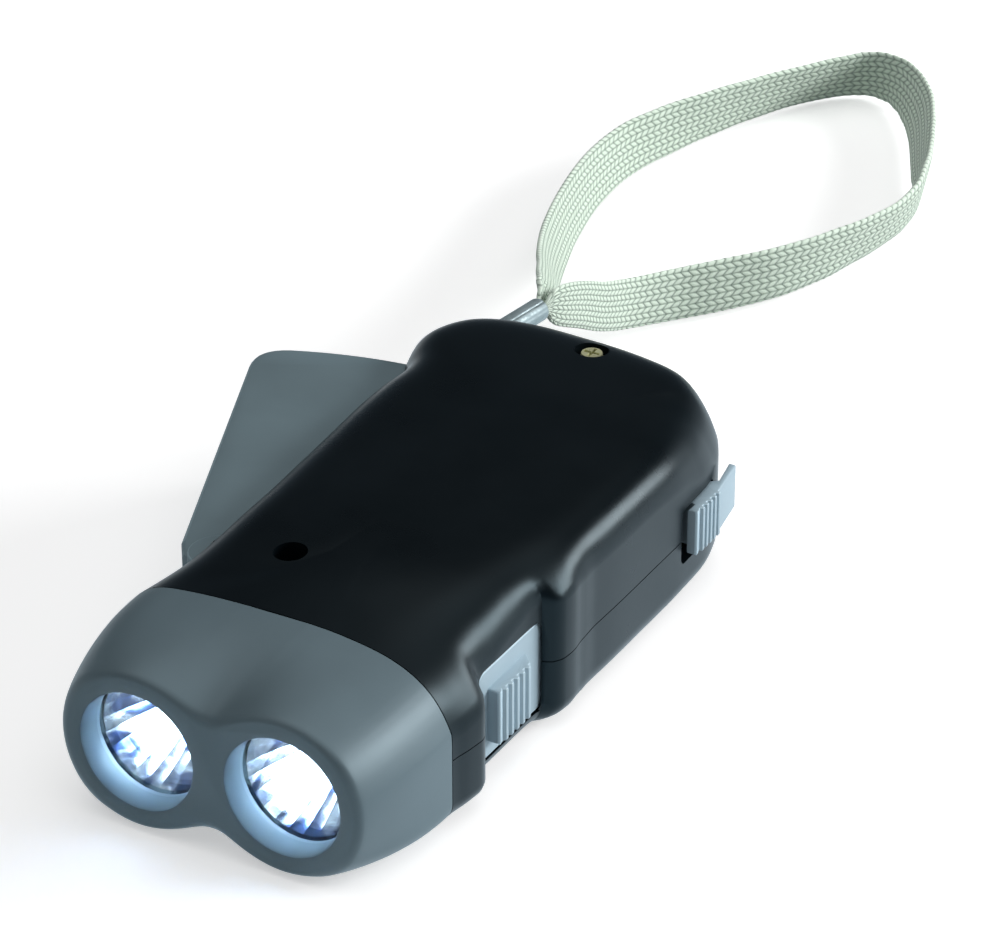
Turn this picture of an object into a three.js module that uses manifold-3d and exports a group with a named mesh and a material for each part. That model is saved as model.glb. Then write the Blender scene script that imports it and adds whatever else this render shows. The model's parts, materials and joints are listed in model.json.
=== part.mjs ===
// A squeeze-dynamo flashlight with two lamps: a grip lever on the left side drives a gear train
// and a flywheel generator, a slide on the right side switches the lamps, and a second slide locks
// the lever. Millimetres, +Z up. Y runs from the lamp face towards the tail, X to the right as seen
// from the tail, and the torch lies on its flat underside at Z = 0.
import * as THREE from "three";
import { mergeVertices } from "three/addons/utils/BufferGeometryUtils.js";
import Module from "manifold-3d";

const wasm = await Module();
wasm.setup();

// Driving dimensions of the body
const bodyLength = 106;
const bodyHalfWidth = 24.8;
const bodyHeight = 24.6;
const baseFromFace = 54; // the origin lies under this place on the underside
const wall = 2;
const topRound = 5.6;
const noseDrop = 1; // how far the edge of the top falls towards the nose
const cheekProud = 3; // how far the right side stands out before the switch
const bottomRound = 4;
const crownRise = 0.5;
const partingHeight = 10.3;
const seamFromFace = 18.5;
const seamGap = 0.3;
const fit = 0.3; // clearance between pieces that touch
const running = 0.05; // radial clearance of a shaft in its hole
const overrun = 6; // how far a cutting solid runs past what it cuts
const sides = 24; // facets of a round piece
const fineSides = 12; // facets of a pin or a small hole

// Lamps
const lampPitch = 20.6;
const lampHeight = 11.5;
const apertureRadius = 7.95;
const barrelRadius = 10.7;
const bezelWall = 1.8;
const lensDepth = 3.2;
const lensThick = 1.1;
const lensRadius = 8.5;

// Lever
const pivotInset = 5.8; // from the widest place of the left side
const pivotX = pivotInset - bodyHalfWidth;
const pivotY = 33;
const leverReach = 58; // from the pivot to the rear edge
const leverLow = 4.4;
const leverHigh = 19.5;
const leverWall = 1.5;
const leverSwing = 22; // degrees from the rest position to the squeezed one
const leverInnerAngle = -3; // degrees towards +X from +Y, seen from above
const pinRadius = 1.1;
const bossRadius = 3.4;

// Gear train: teeth and modules
const pressureAngle = (25 * Math.PI) / 180;
const addendumShare = 0.8;
const dedendumShare = 1.1;
const sectorModule = 0.8;
const sectorFullTeeth = 90;
const firstPinionTeeth = 12;
const trainModule = 0.5;
const firstWheelTeeth = 40;
const secondPinionTeeth = 16;
const secondWheelTeeth = 44;
const clutchTeeth = 20;
const backlash = 0.06; // taken off each flank
const axleRadius = 0.75;

const sectorRadius = (sectorModule * sectorFullTeeth) / 2;
const firstPinionRadius = (sectorModule * firstPinionTeeth) / 2;
const firstWheelRadius = (trainModule * firstWheelTeeth) / 2;
const secondPinionRadius = (trainModule * secondPinionTeeth) / 2;
const secondWheelRadius = (trainModule * secondWheelTeeth) / 2;
const clutchRadius = (trainModule * clutchTeeth) / 2;

// Heights of the gear train's layers, from the flywheel up
const layer = {
  rotorLow: 3.6,
  rotorHigh: 11.4,
  sectorLow: 11.9,
  sectorHigh: 13.9,
  secondWheelLow: 14.3,
  secondWheelHigh: 15.7,
  firstWheelLow: 16.1,
  firstWheelHigh: 17.5,
};

const root = new THREE.Group();
root.position.set(0, -baseFromFace, 0);

const finishes = {
  casing: { color: 0x15191c, roughness: 0.42, metalness: 0 },
  bezel: { color: 0x4a5d65, roughness: 0.5, metalness: 0 },
  lever: { color: 0x57696e, roughness: 0.6, metalness: 0 },
  slide: { color: 0xa8bec9, roughness: 0.45, metalness: 0 },
  lens: { color: 0xe8f4fa, roughness: 0.05, metalness: 0 },
  mirror: { color: 0xe4e8ec, roughness: 0.08, metalness: 1 },
  led: { color: 0xf4fbff, roughness: 0.1, metalness: 0 },
  board: { color: 0x1f6a3c, roughness: 0.6, metalness: 0 },
  steel: { color: 0xb9bec2, roughness: 0.3, metalness: 1 },
  zinc: { color: 0xc9b45c, roughness: 0.35, metalness: 1 },
  gear: { color: 0xf1efe6, roughness: 0.5, metalness: 0 },
  magnet: { color: 0x2c2d30, roughness: 0.6, metalness: 0.4 },
  copper: { color: 0xb8703a, roughness: 0.35, metalness: 1 },
  strap: { color: 0xc8d6c4, roughness: 0.9, metalness: 0 },
  black: { color: 0x1c1d1f, roughness: 0.5, metalness: 0 },
};

function materialOf(finish) {
  return new THREE.MeshStandardMaterial(finishes[finish]);
}

// Solids from geometries, and back
function solid(geometry) {
  const bare = geometry.index ? geometry.toNonIndexed() : geometry.clone();
  bare.deleteAttribute("normal");
  bare.deleteAttribute("uv");
  const merged = mergeVertices(bare, 1e-4);
  const index = merged.index.array;
  const kept = [];
  for (let i = 0; i < index.length; i += 3) {
    const [a, b, c] = [index[i], index[i + 1], index[i + 2]];
    if (a !== b && b !== c && c !== a) kept.push(a, b, c);
  }
  if (signedVolume(merged.attributes.position, kept) < 0) kept.reverse();
  return new wasm.Manifold(
    new wasm.Mesh({
      numProp: 3,
      vertProperties: merged.attributes.position.array,
      triVerts: new Uint32Array(kept),
    }),
  );
}

function signedVolume(position, triangles) {
  const [a, b, c] = [new THREE.Vector3(), new THREE.Vector3(), new THREE.Vector3()];
  let volume = 0;
  for (let i = 0; i < triangles.length; i += 3) {
    a.fromBufferAttribute(position, triangles[i]);
    b.fromBufferAttribute(position, triangles[i + 1]);
    c.fromBufferAttribute(position, triangles[i + 2]);
    volume += a.dot(b.cross(c));
  }
  return volume;
}

function geometryOf(body) {
  const mesh = body.getMesh();
  const points = new Float32Array(mesh.numVert * 3);
  for (let i = 0; i < mesh.numVert; i++) {
    points.set(mesh.vertProperties.subarray(i * mesh.numProp, i * mesh.numProp + 3), i * 3);
  }
  const geometry = new THREE.BufferGeometry();
  geometry.setAttribute("position", new THREE.BufferAttribute(points, 3));
  geometry.setIndex(new THREE.BufferAttribute(mesh.triVerts, 1));
  return geometry;
}

function join(first, ...others) {
  return others.reduce((body, other) => body.add(other), first);
}

function cut(first, ...others) {
  return others.reduce((body, other) => body.subtract(other), first);
}

function piece(name, body, finish) {
  const mesh = new THREE.Mesh(geometryOf(body), materialOf(finish));
  mesh.name = name;
  root.add(mesh);
}

function box(low, high) {
  const size = high.map((value, axis) => value - low[axis]);
  const geometry = new THREE.BoxGeometry(...size);
  geometry.translate(...low.map((value, axis) => value + size[axis] / 2));
  return solid(geometry);
}

// A round bar standing on Z, with radiusHigh at its upper end
function bar(at, radius, low, high, facets = sides, radiusHigh = radius) {
  const geometry = new THREE.CylinderGeometry(radiusHigh, radius, high - low, facets);
  geometry.rotateX(Math.PI / 2);
  geometry.translate(at[0], at[1], (low + high) / 2);
  return solid(geometry);
}

function tube(at, radius, bore, low, high, facets = sides) {
  return cut(bar(at, radius, low, high, facets), bar(at, bore, low - overrun, high + overrun, facets));
}

// A plan outline raised from one height to another
function prism(shape, low, high, bevel = 0) {
  const geometry = new THREE.ExtrudeGeometry(shape, {
    depth: high - low - 2 * bevel,
    bevelEnabled: bevel > 0,
    bevelThickness: bevel,
    bevelSize: bevel,
    bevelOffset: -bevel,
    bevelSegments: 2,
    curveSegments: 8,
  });
  geometry.translate(0, 0, low + bevel);
  return solid(geometry);
}

// A side outline, drawn in Y and Z, carried along X
function sidePrism(shape, low, high, bevel = 0) {
  const geometry = geometryOf(prism(shape, low, high, bevel));
  geometry.rotateY(Math.PI / 2);
  geometry.rotateX(Math.PI / 2);
  return solid(geometry);
}

// A profile of [radius, place] pairs turned about a line along Y through x and z
function turnedOnY(x, z, profile, facets = sides) {
  const geometry = new THREE.LatheGeometry(
    profile.map(([radius, place]) => new THREE.Vector2(radius, place)),
    facets,
  );
  geometry.translate(x, 0, z);
  return solid(geometry);
}

function roundedRectangle(lowX, highX, lowY, highY, radius) {
  const shape = new THREE.Shape();
  shape.moveTo(lowX + radius, lowY);
  shape.lineTo(highX - radius, lowY);
  shape.absarc(highX - radius, lowY + radius, radius, -Math.PI / 2, 0);
  shape.lineTo(highX, highY - radius);
  shape.absarc(highX - radius, highY - radius, radius, 0, Math.PI / 2);
  shape.lineTo(lowX + radius, highY);
  shape.absarc(lowX + radius, highY - radius, radius, Math.PI / 2, Math.PI);
  shape.lineTo(lowX, lowY + radius);
  shape.absarc(lowX + radius, lowY + radius, radius, Math.PI, 1.5 * Math.PI);
  return shape;
}

// A place at a distance from another, at an angle in degrees from +Y towards +X
function polar(from, distance, degrees) {
  const angle = (degrees * Math.PI) / 180;
  return [from[0] + distance * Math.sin(angle), from[1] + distance * Math.cos(angle)];
}

// Plan outline of the body at mid height, anticlockwise from the front right, as shares of the
// half width and of the length. The nose end is cut off at the seam of the head.
const outlineShares = [
  [0.83, 0.05],
  [0.843, 0.16],
  [0.843, 0.232],
  [0.842, 0.256],
  [0.841, 0.3],
  [0.841, 0.37],
  [0.845, 0.403],
  [0.856, 0.414],
  [0.864, 0.422],
  [0.878, 0.436],
  [0.902, 0.458],
  [0.925, 0.49],
  [0.935, 0.55],
  [0.935, 0.66],
  [0.93, 0.76],
  [0.9, 0.855],
  [0.81, 0.921],
  [0.56, 0.969],
  [0.2, 0.989],
  [-0.16, 0.997],
  [-0.45, 1.0],
  [-0.72, 0.991],
  [-0.905, 0.968],
  [-1.02, 0.93],
  [-1.06, 0.888],
  [-1.015, 0.845],
  [-0.948, 0.803],
  [-0.972, 0.752],
  [-0.982, 0.675],
  [-0.945, 0.54],
  [-0.9, 0.4],
  [-0.883, 0.325],
  [-0.9, 0.258],
  [-0.945, 0.2],
  [-0.978, 0.15],
  [-0.978, 0.05],
  [-0.65, -0.08],
  [-0.05, -0.12],
  [0.55, -0.08],
];
const outlineStep = 3.4; // length between two points of the outline, or less
const centreOfPlan = [0, bodyLength / 2];

function outline() {
  const places = outlineShares.map(
    ([x, y]) => new THREE.Vector3(x * bodyHalfWidth, y * bodyLength, 0),
  );
  const curve = new THREE.CatmullRomCurve3(places, true, "centripetal");
  return places.flatMap((place, i) => {
    const count = Math.ceil(place.distanceTo(places[(i + 1) % places.length]) / outlineStep);
    return Array.from({ length: count }, (_, k) => {
      const at = (i + k / count) / places.length;
      const [point, along] = [curve.getPoint(at), curve.getTangent(at)];
      return { x: point.x, y: point.y, nx: along.y, ny: -along.x };
    });
  });
}
const plan = outline();

// A value from a table of [share of the body's length, value] at a distance from the face
function throughShares(table, place) {
  const at = place / bodyLength;
  const next = table.findIndex(([share]) => share > at);
  if (next < 1) return next < 0 ? table[table.length - 1][1] : table[0][1];
  const [[from, low], [to, high]] = [table[next - 1], table[next]];
  return low + ((high - low) * (at - from)) / (to - from);
}

// The right side stands proud of that outline in a cheek before the switch and a shoulder behind
// it, as shares of the length and of the cheek
const proudShares = [
  [0.175, 0.7],
  [0.208, 0.9],
  [0.232, 1],
  [0.245, 0.83],
  [0.256, 0.4],
  [0.268, 0.1],
  [0.403, 0.1],
  [0.414, 0.07],
  [0.422, 0.4],
  [0.436, 0.58],
  [0.458, 0.45],
  [0.483, 0.17],
  [0.523, 0],
];

function proudAt(point) {
  return point.x < 0 ? 0 : cheekProud * throughShares(proudShares, point.y);
}

// The rounding of the top, fuller towards the nose and at the rear right, as shares of the length
// and of its own size, and how far the edge of the top falls, as shares of the fall at the nose
const rightRoundShares = [
  [0.175, 1.7],
  [0.396, 1],
  [0.68, 1],
  [0.775, 1.2],
  [0.85, 1.6],
  [0.915, 1.53],
  [0.958, 1.07],
  [0.98, 0.97],
];
const leftRoundShares = [
  [0.175, 1.25],
  [0.396, 1.15],
  [0.71, 1.15],
  [0.83, 1],
];
const fallShares = [
  [0.175, 1],
  [0.396, 0],
];

function topRoundAt(point) {
  return topRound * throughShares(point.x < 0 ? leftRoundShares : rightRoundShares, point.y);
}

const edgeTurns = [90, 60, 30, 0]; // degrees, from the flat to the side
const crownShares = [0.82, 0.6, 0.34]; // rings of the crown, as shares of its edge

// The pillow form of the body, drawn in by an inset: a rounded edge below, upright sides, a
// rounded edge above, and a crowned top
function pillow(inset) {
  return stack(pillowLayers(inset));
}

function pillowLayers(inset) {
  const high = bodyHeight - inset;
  const edgeAt = (point) => high - crownRise - noseDrop * throughShares(fallShares, point.y);
  const layerOf = (turn, roundAt, heightOf) => {
    const [sine, cosine] = [Math.sin((turn * Math.PI) / 180), Math.cos((turn * Math.PI) / 180)];
    return plan.map((point) => {
      const round = roundAt(point) - inset;
      const outer = proudAt(point) - inset;
      const offset = outer + (-inset - round - outer) * (1 - cosine);
      const height = heightOf(point, round * (1 - sine));
      return [point.x + point.nx * offset, point.y + point.ny * offset, height];
    });
  };
  const layers = [
    ...edgeTurns.map((turn) => layerOf(turn, () => bottomRound, (point, drop) => inset + drop)),
    ...[...edgeTurns]
      .reverse()
      .map((turn) => layerOf(turn, topRoundAt, (point, drop) => edgeAt(point) - drop)),
  ];
  const rim = layers[layers.length - 1];
  const [middleX, middleY] = centreOfPlan;
  const flatShare = crownShares[crownShares.length - 1];
  crownShares.forEach((share) => {
    const rise = (1 - share * share) / (1 - flatShare * flatShare);
    layers.push(
      rim.map(([x, y, z]) => [
        middleX + (x - middleX) * share,
        middleY + (y - middleY) * share,
        z + (high - z) * rise,
      ]),
    );
  });
  return layers;
}

// Closed rings of equal count joined in a stack, with flat ends
function stack(layers) {
  const count = layers[0].length;
  const points = layers.flat();
  const index = [];
  for (let k = 0; k + 1 < layers.length; k++) {
    for (let i = 0; i < count; i++) {
      const j = (i + 1) % count;
      const [a, b, c, d] = [k * count + i, k * count + j, (k + 1) * count + j, (k + 1) * count + i];
      index.push(a, b, c, a, c, d);
    }
  }
  for (const [ring, start, flip] of [
    [layers[0], 0, true],
    [layers[layers.length - 1], (layers.length - 1) * count, false],
  ]) {
    for (const face of endFaces(ring)) {
      const [a, b, c] = face.map((i) => start + i);
      index.push(...(flip ? [a, c, b] : [a, b, c]));
    }
  }
  const geometry = new THREE.BufferGeometry();
  geometry.setAttribute("position", new THREE.Float32BufferAttribute(points.flat(), 3));
  geometry.setIndex(index);
  return solid(geometry);
}

// Triangles that fill a flat ring, seen along the axis in which it has no depth
function endFaces(ring) {
  const spans = [0, 1, 2].map(
    (axis) => Math.max(...ring.map((p) => p[axis])) - Math.min(...ring.map((p) => p[axis])),
  );
  const flat = spans.indexOf(Math.min(...spans));
  const [u, v] = [(flat + 1) % 3, (flat + 2) % 3];
  const places = ring.map((p) => new THREE.Vector2(p[u], p[v]));
  const faces = THREE.ShapeUtils.triangulateShape(places, []);
  return THREE.ShapeUtils.isClockWise(places) ? faces.map(([a, b, c]) => [a, c, b]) : faces;
}

// Joint places
const pivot = [pivotX, pivotY];
const firstAxleAngle = 22; // degrees from +Y towards +X, seen from the pivot
const firstAxle = polar(pivot, sectorRadius + firstPinionRadius, firstAxleAngle);
const rotorPlace = { fromRight: 21.8, fromFace: 46 };
const rotorAxle = [bodyHalfWidth - rotorPlace.fromRight, rotorPlace.fromFace];
const secondAxle = meetingPlace(
  firstAxle,
  firstWheelRadius + secondPinionRadius,
  rotorAxle,
  secondWheelRadius + clutchRadius,
);

// The place at one distance from a and another from b, on the left of the way from a to b
function meetingPlace(a, fromA, b, fromB) {
  const [dx, dy] = [b[0] - a[0], b[1] - a[1]];
  const apart = Math.hypot(dx, dy);
  const along = (fromA * fromA - fromB * fromB + apart * apart) / (2 * apart);
  const aside = Math.sqrt(fromA * fromA - along * along);
  return [a[0] + (dx * along - dy * aside) / apart, a[1] + (dy * along + dx * aside) / apart];
}

// Distances from the tail, from the right side or from the top, turned into places
function fromTail(distances) {
  return placesBefore(bodyLength, distances);
}

function fromRight(distances) {
  return placesBefore(bodyHalfWidth, distances);
}

function fromTop(distances) {
  return placesBefore(bodyHeight, distances);
}

function placesBefore(end, distances) {
  return Object.fromEntries(Object.entries(distances).map(([name, value]) => [name, end - value]));
}

// Screws, their bosses, and the posts that carry the axles
const rearScrewFromTail = { y: 7.3 };
const rearScrewPlace = fromTail(rearScrewFromTail);
const frontScrew = [-7.7, 31.8];
const rearScrew = [-0.85, rearScrewPlace.y];
const screwFromTop = { frontSeat: 12.6, rearSeat: 2.5 };
const screw = {
  head: 1.85,
  crown: 1.45,
  high: 1.5,
  shank: 1.15,
  tip: 3.2,
  ...fromTop(screwFromTop),
};
const recess = { long: 2.4, wide: 0.5, deep: 0.8 };
const boss = { radius: 3.4, frontBore: 2.2, rearBore: 2.4, post: 3.1 };
const ceiling = bodyHeight - wall;
const partingGap = 0.15; // between the edges of the two casings
const post = { radius: 1.8, slim: 1.35, seatDeep: 4, seatHigh: 2.2 };
const axles = {
  first: { at: firstAxle, low: layer.sectorLow - 2 * fit, high: layer.firstWheelHigh + fit },
  second: { at: secondAxle, low: layer.secondWheelLow - fit, high: layer.firstWheelHigh + 2 * fit },
  rotor: { at: rotorAxle, low: layer.rotorLow - fit, high: layer.secondWheelHigh + 2 * fit },
};
const axleTop = layer.firstWheelHigh + post.seatHigh;
const slotRoom = 0.6; // free space round the lever's plan
const slotFront = pivotY - bossRadius + slotRoom + fit;

// A disc on top of the lever's hub, and how far the pin goes into the casing above it
const leverDisc = { radius: 4.2, thick: 0.9 };
const pinSeat = 0.8;
const discTop = leverHigh + leverDisc.thick;
const pinTop = discTop + fit + pinSeat;

// The pocket in the right wall that the switch slide runs in
const pocketFromRight = { floor: 4.8, face: 3.5 };
const pocket = {
  ...fromRight(pocketFromRight),
  front: 28,
  rear: 44,
  low: 3.1,
  high: 16.4,
  corner: 1.8,
};
const pocketUnder = 5.2; // how far the pocket runs on under the wall behind it
const switchTravel = 2.5;

// The slide switch inside, its knob, and the fork of the slide that takes the knob along
const switchBodyFromRight = { lowX: 11.8, highX: 8.2 };
const switchBody = {
  ...fromRight(switchBodyFromRight),
  front: 30.5,
  rear: 38.9,
  low: 9.8,
  high: 13.6,
};
const knobFromRight = { lowX: 9.1, highX: 6.6 };
const knob = { ...fromRight(knobFromRight), front: 33.3, rear: 35, low: 11.2, high: 12.2 };
const forkFromRight = { lowX: 7.8 };
const fork = { ...fromRight(forkFromRight), front: 31.9, rear: 36.4, low: 10.7, high: 12.7 };
const legPitch = 2.5;
const legRadius = 0.35;
const legLong = 1.8;
const cradleFromRight = { lowX: 11.4, highX: 6.8 };
const cradle = { ...fromRight(cradleFromRight), thick: 1.5, places: [31.6, 37.6] };

// The slot in the right wall that the lock slide runs in
const lockSlotFromTail = { front: 26.8, rear: 16 };
const lockSlotFromRight = { inner: 5.8 };
const lockSlot = {
  ...fromTail(lockSlotFromTail),
  ...fromRight(lockSlotFromRight),
  low: 6.5,
  high: 14.8,
  corner: 1.2,
};
const lockTravel = 1.4;

// The cell in its ring, the board over it, and the rests of the lock's arm
const cellFromRight = { x: 14.6 };
const cellFromTail = { y: 22 };
const cell = {
  ...fromRight(cellFromRight),
  ...fromTail(cellFromTail),
  radius: 10,
  low: 2.4,
  high: 5.6,
  step: 0.6,
  ringHigh: 4,
};
const cellPlace = [cell.x, cell.y];
const boardFromRight = { lowX: 22.3, highX: 6.3 };
const boardFromTail = { front: 34, rear: 16 };
const board = {
  ...fromRight(boardFromRight),
  ...fromTail(boardFromTail),
  low: 6.4,
  high: 7.4,
  corner: 1,
  postInset: 1.5,
};
const boardPosts = [
  [board.lowX + board.postInset, board.front + board.postInset],
  [board.highX - board.postInset, board.front + board.postInset],
];
const statorRest = { inner: 4.4, outer: 7, high: 3.1 };
const armRests = [
  [-5, -3.8],
  [0.5, 2],
];
const armRestFromTail = { front: 16, rear: 11.8 };
const armRest = { ...fromTail(armRestFromTail), high: 8.7 };
const ferruleFromTail = { y: 2.5 };
const ferruleFromTop = { z: 4.8 };
const ferrule = {
  ...fromTail(ferruleFromTail),
  ...fromTop(ferruleFromTop),
  x: -18.3,
  lean: 7.4, // degrees towards +X
  radius: 1.7,
  bore: 1.5,
  inner: -5.4,
  flange: 2.2,
  flangeThick: 0.8,
  mouth: 10,
  mouthDeep: 1.5,
  lipRound: 0.2,
};

// A profile turned about the ferrule's leaning axis
function turnedOnFerrule(profile) {
  const geometry = geometryOf(turnedOnY(0, 0, profile, fineSides));
  geometry.rotateZ((-ferrule.lean * Math.PI) / 180);
  geometry.translate(ferrule.x, ferrule.y, ferrule.z);
  return solid(geometry);
}

// What both casings leave open: the lever's slot, the slides and the strap's ferrule
function bodyOpenings() {
  const { low, high } = { low: leverLow - fit, high: leverHigh + fit };
  const right = bodyHalfWidth + overrun;
  const leverSlot = box([-bodyLength, slotFront, low], [pivotX + fit, pivotY + leverReach + slotRoom, high]);
  const leverNose = bar(pivot, bossRadius + slotRoom, low, high);
  const discRoom = bar(pivot, leverDisc.radius + fit, leverHigh - leverWall / 2, discTop + fit);
  const face = sidePrism(
    roundedRectangle(pocket.front, pocket.rear, pocket.low, pocket.high, pocket.corner),
    pocket.floor,
    right,
  );
  const underWall = box(
    [pocket.floor, pocket.rear - pocket.corner - fit, pocket.low],
    [pocket.face, pocket.rear + pocketUnder, pocket.high],
  );
  const forkSlot = box(
    [fork.lowX, fork.front - fit, partingHeight],
    [pocket.face, fork.rear + switchTravel + fit, fork.high + fit],
  );
  const rearSlot = sidePrism(
    roundedRectangle(lockSlot.front, lockSlot.rear, lockSlot.low, lockSlot.high, lockSlot.corner),
    lockSlot.inner,
    right,
  );
  const strapHole = turnedOnFerrule([
    [0, ferrule.inner],
    [ferrule.radius + fit, ferrule.inner],
    [ferrule.radius + fit, ferrule.mouth],
    [0, ferrule.mouth],
  ]);
  return [leverSlot, leverNose, discRoom, face, underWall, forkSlot, rearSlot, strapHole];
}

function bodyShell() {
  const reach = bodyLength + overrun;
  const nose = box([-reach, -reach, -overrun], [reach, seamFromFace + seamGap, bodyHeight + overrun]);
  return cut(pillow(0), pillow(wall), nose, ...bodyOpenings());
}

const shell = bodyShell();
const fill = pillow(wall / 2);
const floorRoot = wall / 2;

function lowerCasing() {
  const top = partingHeight - partingGap / 2;
  const reach = bodyLength + overrun;
  const lower = shell.intersect(box([-reach, 0, -overrun], [reach, reach, top]));
  const ring = cell.radius + fit;
  const posts = join(
    bar(frontScrew, boss.post, floorRoot, top),
    bar(rearScrew, boss.post, floorRoot, top),
    bar(pivot, bossRadius, floorRoot, leverLow - fit),
    bar(firstAxle, post.radius, floorRoot, axles.first.low),
    bar(secondAxle, post.slim, floorRoot, axles.second.low),
    bar(rotorAxle, post.radius, floorRoot, axles.rotor.low),
    tube(rotorAxle, statorRest.outer, statorRest.inner, floorRoot, statorRest.high),
    tube(cellPlace, ring + wall / 2, ring, floorRoot, cell.ringHigh),
    ...boardPosts.map((at) => bar(at, post.radius, floorRoot, board.low - fit, fineSides)),
    ...cradle.places.map((place) =>
      box([cradle.lowX, place, floorRoot], [cradle.highX, place + cradle.thick, switchBody.low - fit]),
    ),
    ...armRests.map(([lowX, highX]) =>
      box([lowX, armRest.front, floorRoot], [highX, armRest.rear, armRest.high]),
    ),
  );
  const pilot = screw.shank + running;
  const holes = [
    ...[frontScrew, rearScrew].map((at) => bar(at, pilot, screw.tip - fit, bodyHeight, fineSides)),
    bar(pivot, pinRadius + running, wall, bodyHeight, fineSides),
    ...Object.values(axles).map(({ at, low }) =>
      bar(at, axleRadius + running, axleSeat(low) - fit, bodyHeight, fineSides),
    ),
  ];
  piece("lower_casing", cut(join(lower, posts.intersect(fill)), ...holes), "casing");
}

// Height of an axle's lower end in a post of a given height
function axleSeat(postHigh) {
  return Math.max(postHigh - post.seatDeep, floorRoot + 2 * fit);
}

function upperCasing() {
  const low = partingHeight + partingGap / 2;
  const reach = bodyLength + overrun;
  const upper = shell.intersect(box([-reach, 0, low], [reach, reach, bodyHeight + overrun]));
  const root = ceiling + wall / 2;
  const posts = join(
    bar(frontScrew, boss.radius, low, root),
    bar(rearScrew, boss.radius, low, root),
    bar(pivot, bossRadius, discTop + fit, root),
    ...Object.values(axles).map(({ at, high }) => bar(at, post.radius, high, root)),
  );
  const top = bodyHeight + overrun;
  const holes = [
    bar(frontScrew, boss.frontBore, screw.frontSeat, top),
    bar(rearScrew, boss.rearBore, screw.rearSeat, top),
    ...[frontScrew, rearScrew].map((at) => bar(at, screw.shank + fit, 0, top, fineSides)),
    bar(pivot, pinRadius + running, 0, pinTop + running, fineSides),
    ...Object.values(axles).map(({ at }) => bar(at, axleRadius + running, 0, axleTop + fit, fineSides)),
  ];
  piece("upper_casing", cut(join(upper, posts.intersect(fill)), ...holes), "casing");
}

// Head: a front of two barrels that widens to the section of the body at the seam
const headSteps = 48;
const headCentre = [0, lampHeight];
const angles = Array.from({ length: headSteps }, (_, i) => (i * 2 * Math.PI) / headSteps);
const half = lampPitch / 2;
const waist = 7.5; // half height of the bridge between the barrels
const blend = 4.4; // how far apart they still run into each other
const flare = 0.75; // how early the head widens towards the seam

// How far a ring reaches from its middle at an angle
function reachOf(ring, angle) {
  const [dx, dz] = [Math.cos(angle), Math.sin(angle)];
  let reach = 0;
  ring.forEach(([ax, az], i) => {
    const [bx, bz] = ring[(i + 1) % ring.length];
    const [ex, ez] = [bx - ax, bz - az];
    const across = dx * ez - dz * ex;
    const along = (ax * ez - az * ex) / across;
    const share = (ax * dz - az * dx) / across;
    if (along > 0 && share >= 0 && share <= 1) reach = Math.max(reach, along);
  });
  return reach;
}

// The section of the body, drawn in by an inset, at a distance from the face
function bodySection(place, inset) {
  const [right, left] = [[], []];
  for (const layer of pillowLayers(inset)) {
    const crossings = [];
    layer.forEach(([ax, ay, az], i) => {
      const [bx, by] = layer[(i + 1) % layer.length];
      if (ay <= place === by <= place) return;
      crossings.push([ax + ((bx - ax) * (place - ay)) / (by - ay), az - lampHeight]);
    });
    if (!crossings.length) continue;
    crossings.sort((a, b) => a[0] - b[0]);
    left.unshift(crossings[0]);
    right.push(crossings[crossings.length - 1]);
  }
  return [...right, ...left];
}

function bodyRing(place, inset) {
  const section = bodySection(place, inset);
  return headPoints(place, angles.map((angle) => reachOf(section, angle)));
}

function headPoints(place, reaches) {
  return reaches.map((reach, i) => [
    headCentre[0] + reach * Math.cos(angles[i]),
    place,
    headCentre[1] + reach * Math.sin(angles[i]),
  ]);
}

function faceReach(angle) {
  const [cosine, sine] = [Math.abs(Math.cos(angle)), Math.abs(Math.sin(angle))];
  const barrel = half * cosine + Math.sqrt(barrelRadius * barrelRadius - half * half * sine * sine);
  if (waist * cosine > half * sine) return barrel;
  const bridge = waist / sine;
  const near = Math.max(1 - Math.abs(barrel - bridge) / blend, 0);
  return Math.max(barrel, bridge) + (near * near * blend) / 4;
}

function headRing(place, inset, rounding = 0) {
  const share = Math.sin((Math.min(place / seamFromFace, 1) * Math.PI) / 2) ** flare;
  const section = bodySection(seamFromFace, inset);
  const reaches = angles.map((angle) => {
    const near = faceReach(angle) - inset;
    return near + (reachOf(section, angle) - near) * share - rounding;
  });
  return headPoints(place, reaches);
}

const headPlaces = [0, 0.4, 1.3, 3.2, 6, 9.4, 13.6, seamFromFace];
const faceRounding = [1, 0.3];
const lip = { root: 16, rear: seamFromFace + 3, inset: wall + fit, thick: 1.2, rootInset: 1 };

function headBezel() {
  const skin = stack(headPlaces.map((place, k) => headRing(place, 0, faceRounding[k] ?? 0)));
  const hollowPlaces = headPlaces.filter((place) => place > lensDepth);
  const end = headRing(seamFromFace, bezelWall).map(([x, , z]) => [x, seamFromFace + overrun, z]);
  const hollow = stack([
    headRing(lensDepth, bezelWall),
    ...hollowPlaces.map((place) => headRing(place, bezelWall)),
    end,
  ]);
  const bores = [-half, half].map((x) => discOnY(x, apertureRadius, -overrun, lensDepth + fit));
  const places = [lip.root, seamFromFace, seamFromFace + seamGap, (seamFromFace + lip.rear) / 2, lip.rear];
  const lipOuter = stack(places.map((place) => bodyRing(place, lip.inset)));
  const rootRing = bodyRing(seamFromFace, lip.rootInset);
  const lipRoot = stack(
    [lip.root, seamFromFace].map((place) => rootRing.map(([x, , z]) => [x, place, z])),
  );
  const lipInner = stack(
    [lip.root - overrun, ...places, lip.rear + overrun].map((place) =>
      bodyRing(place, lip.inset + lip.thick),
    ),
  );
  piece("head_bezel", join(cut(skin, hollow, ...bores), cut(join(lipOuter, lipRoot), lipInner)), "bezel");
}

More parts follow.
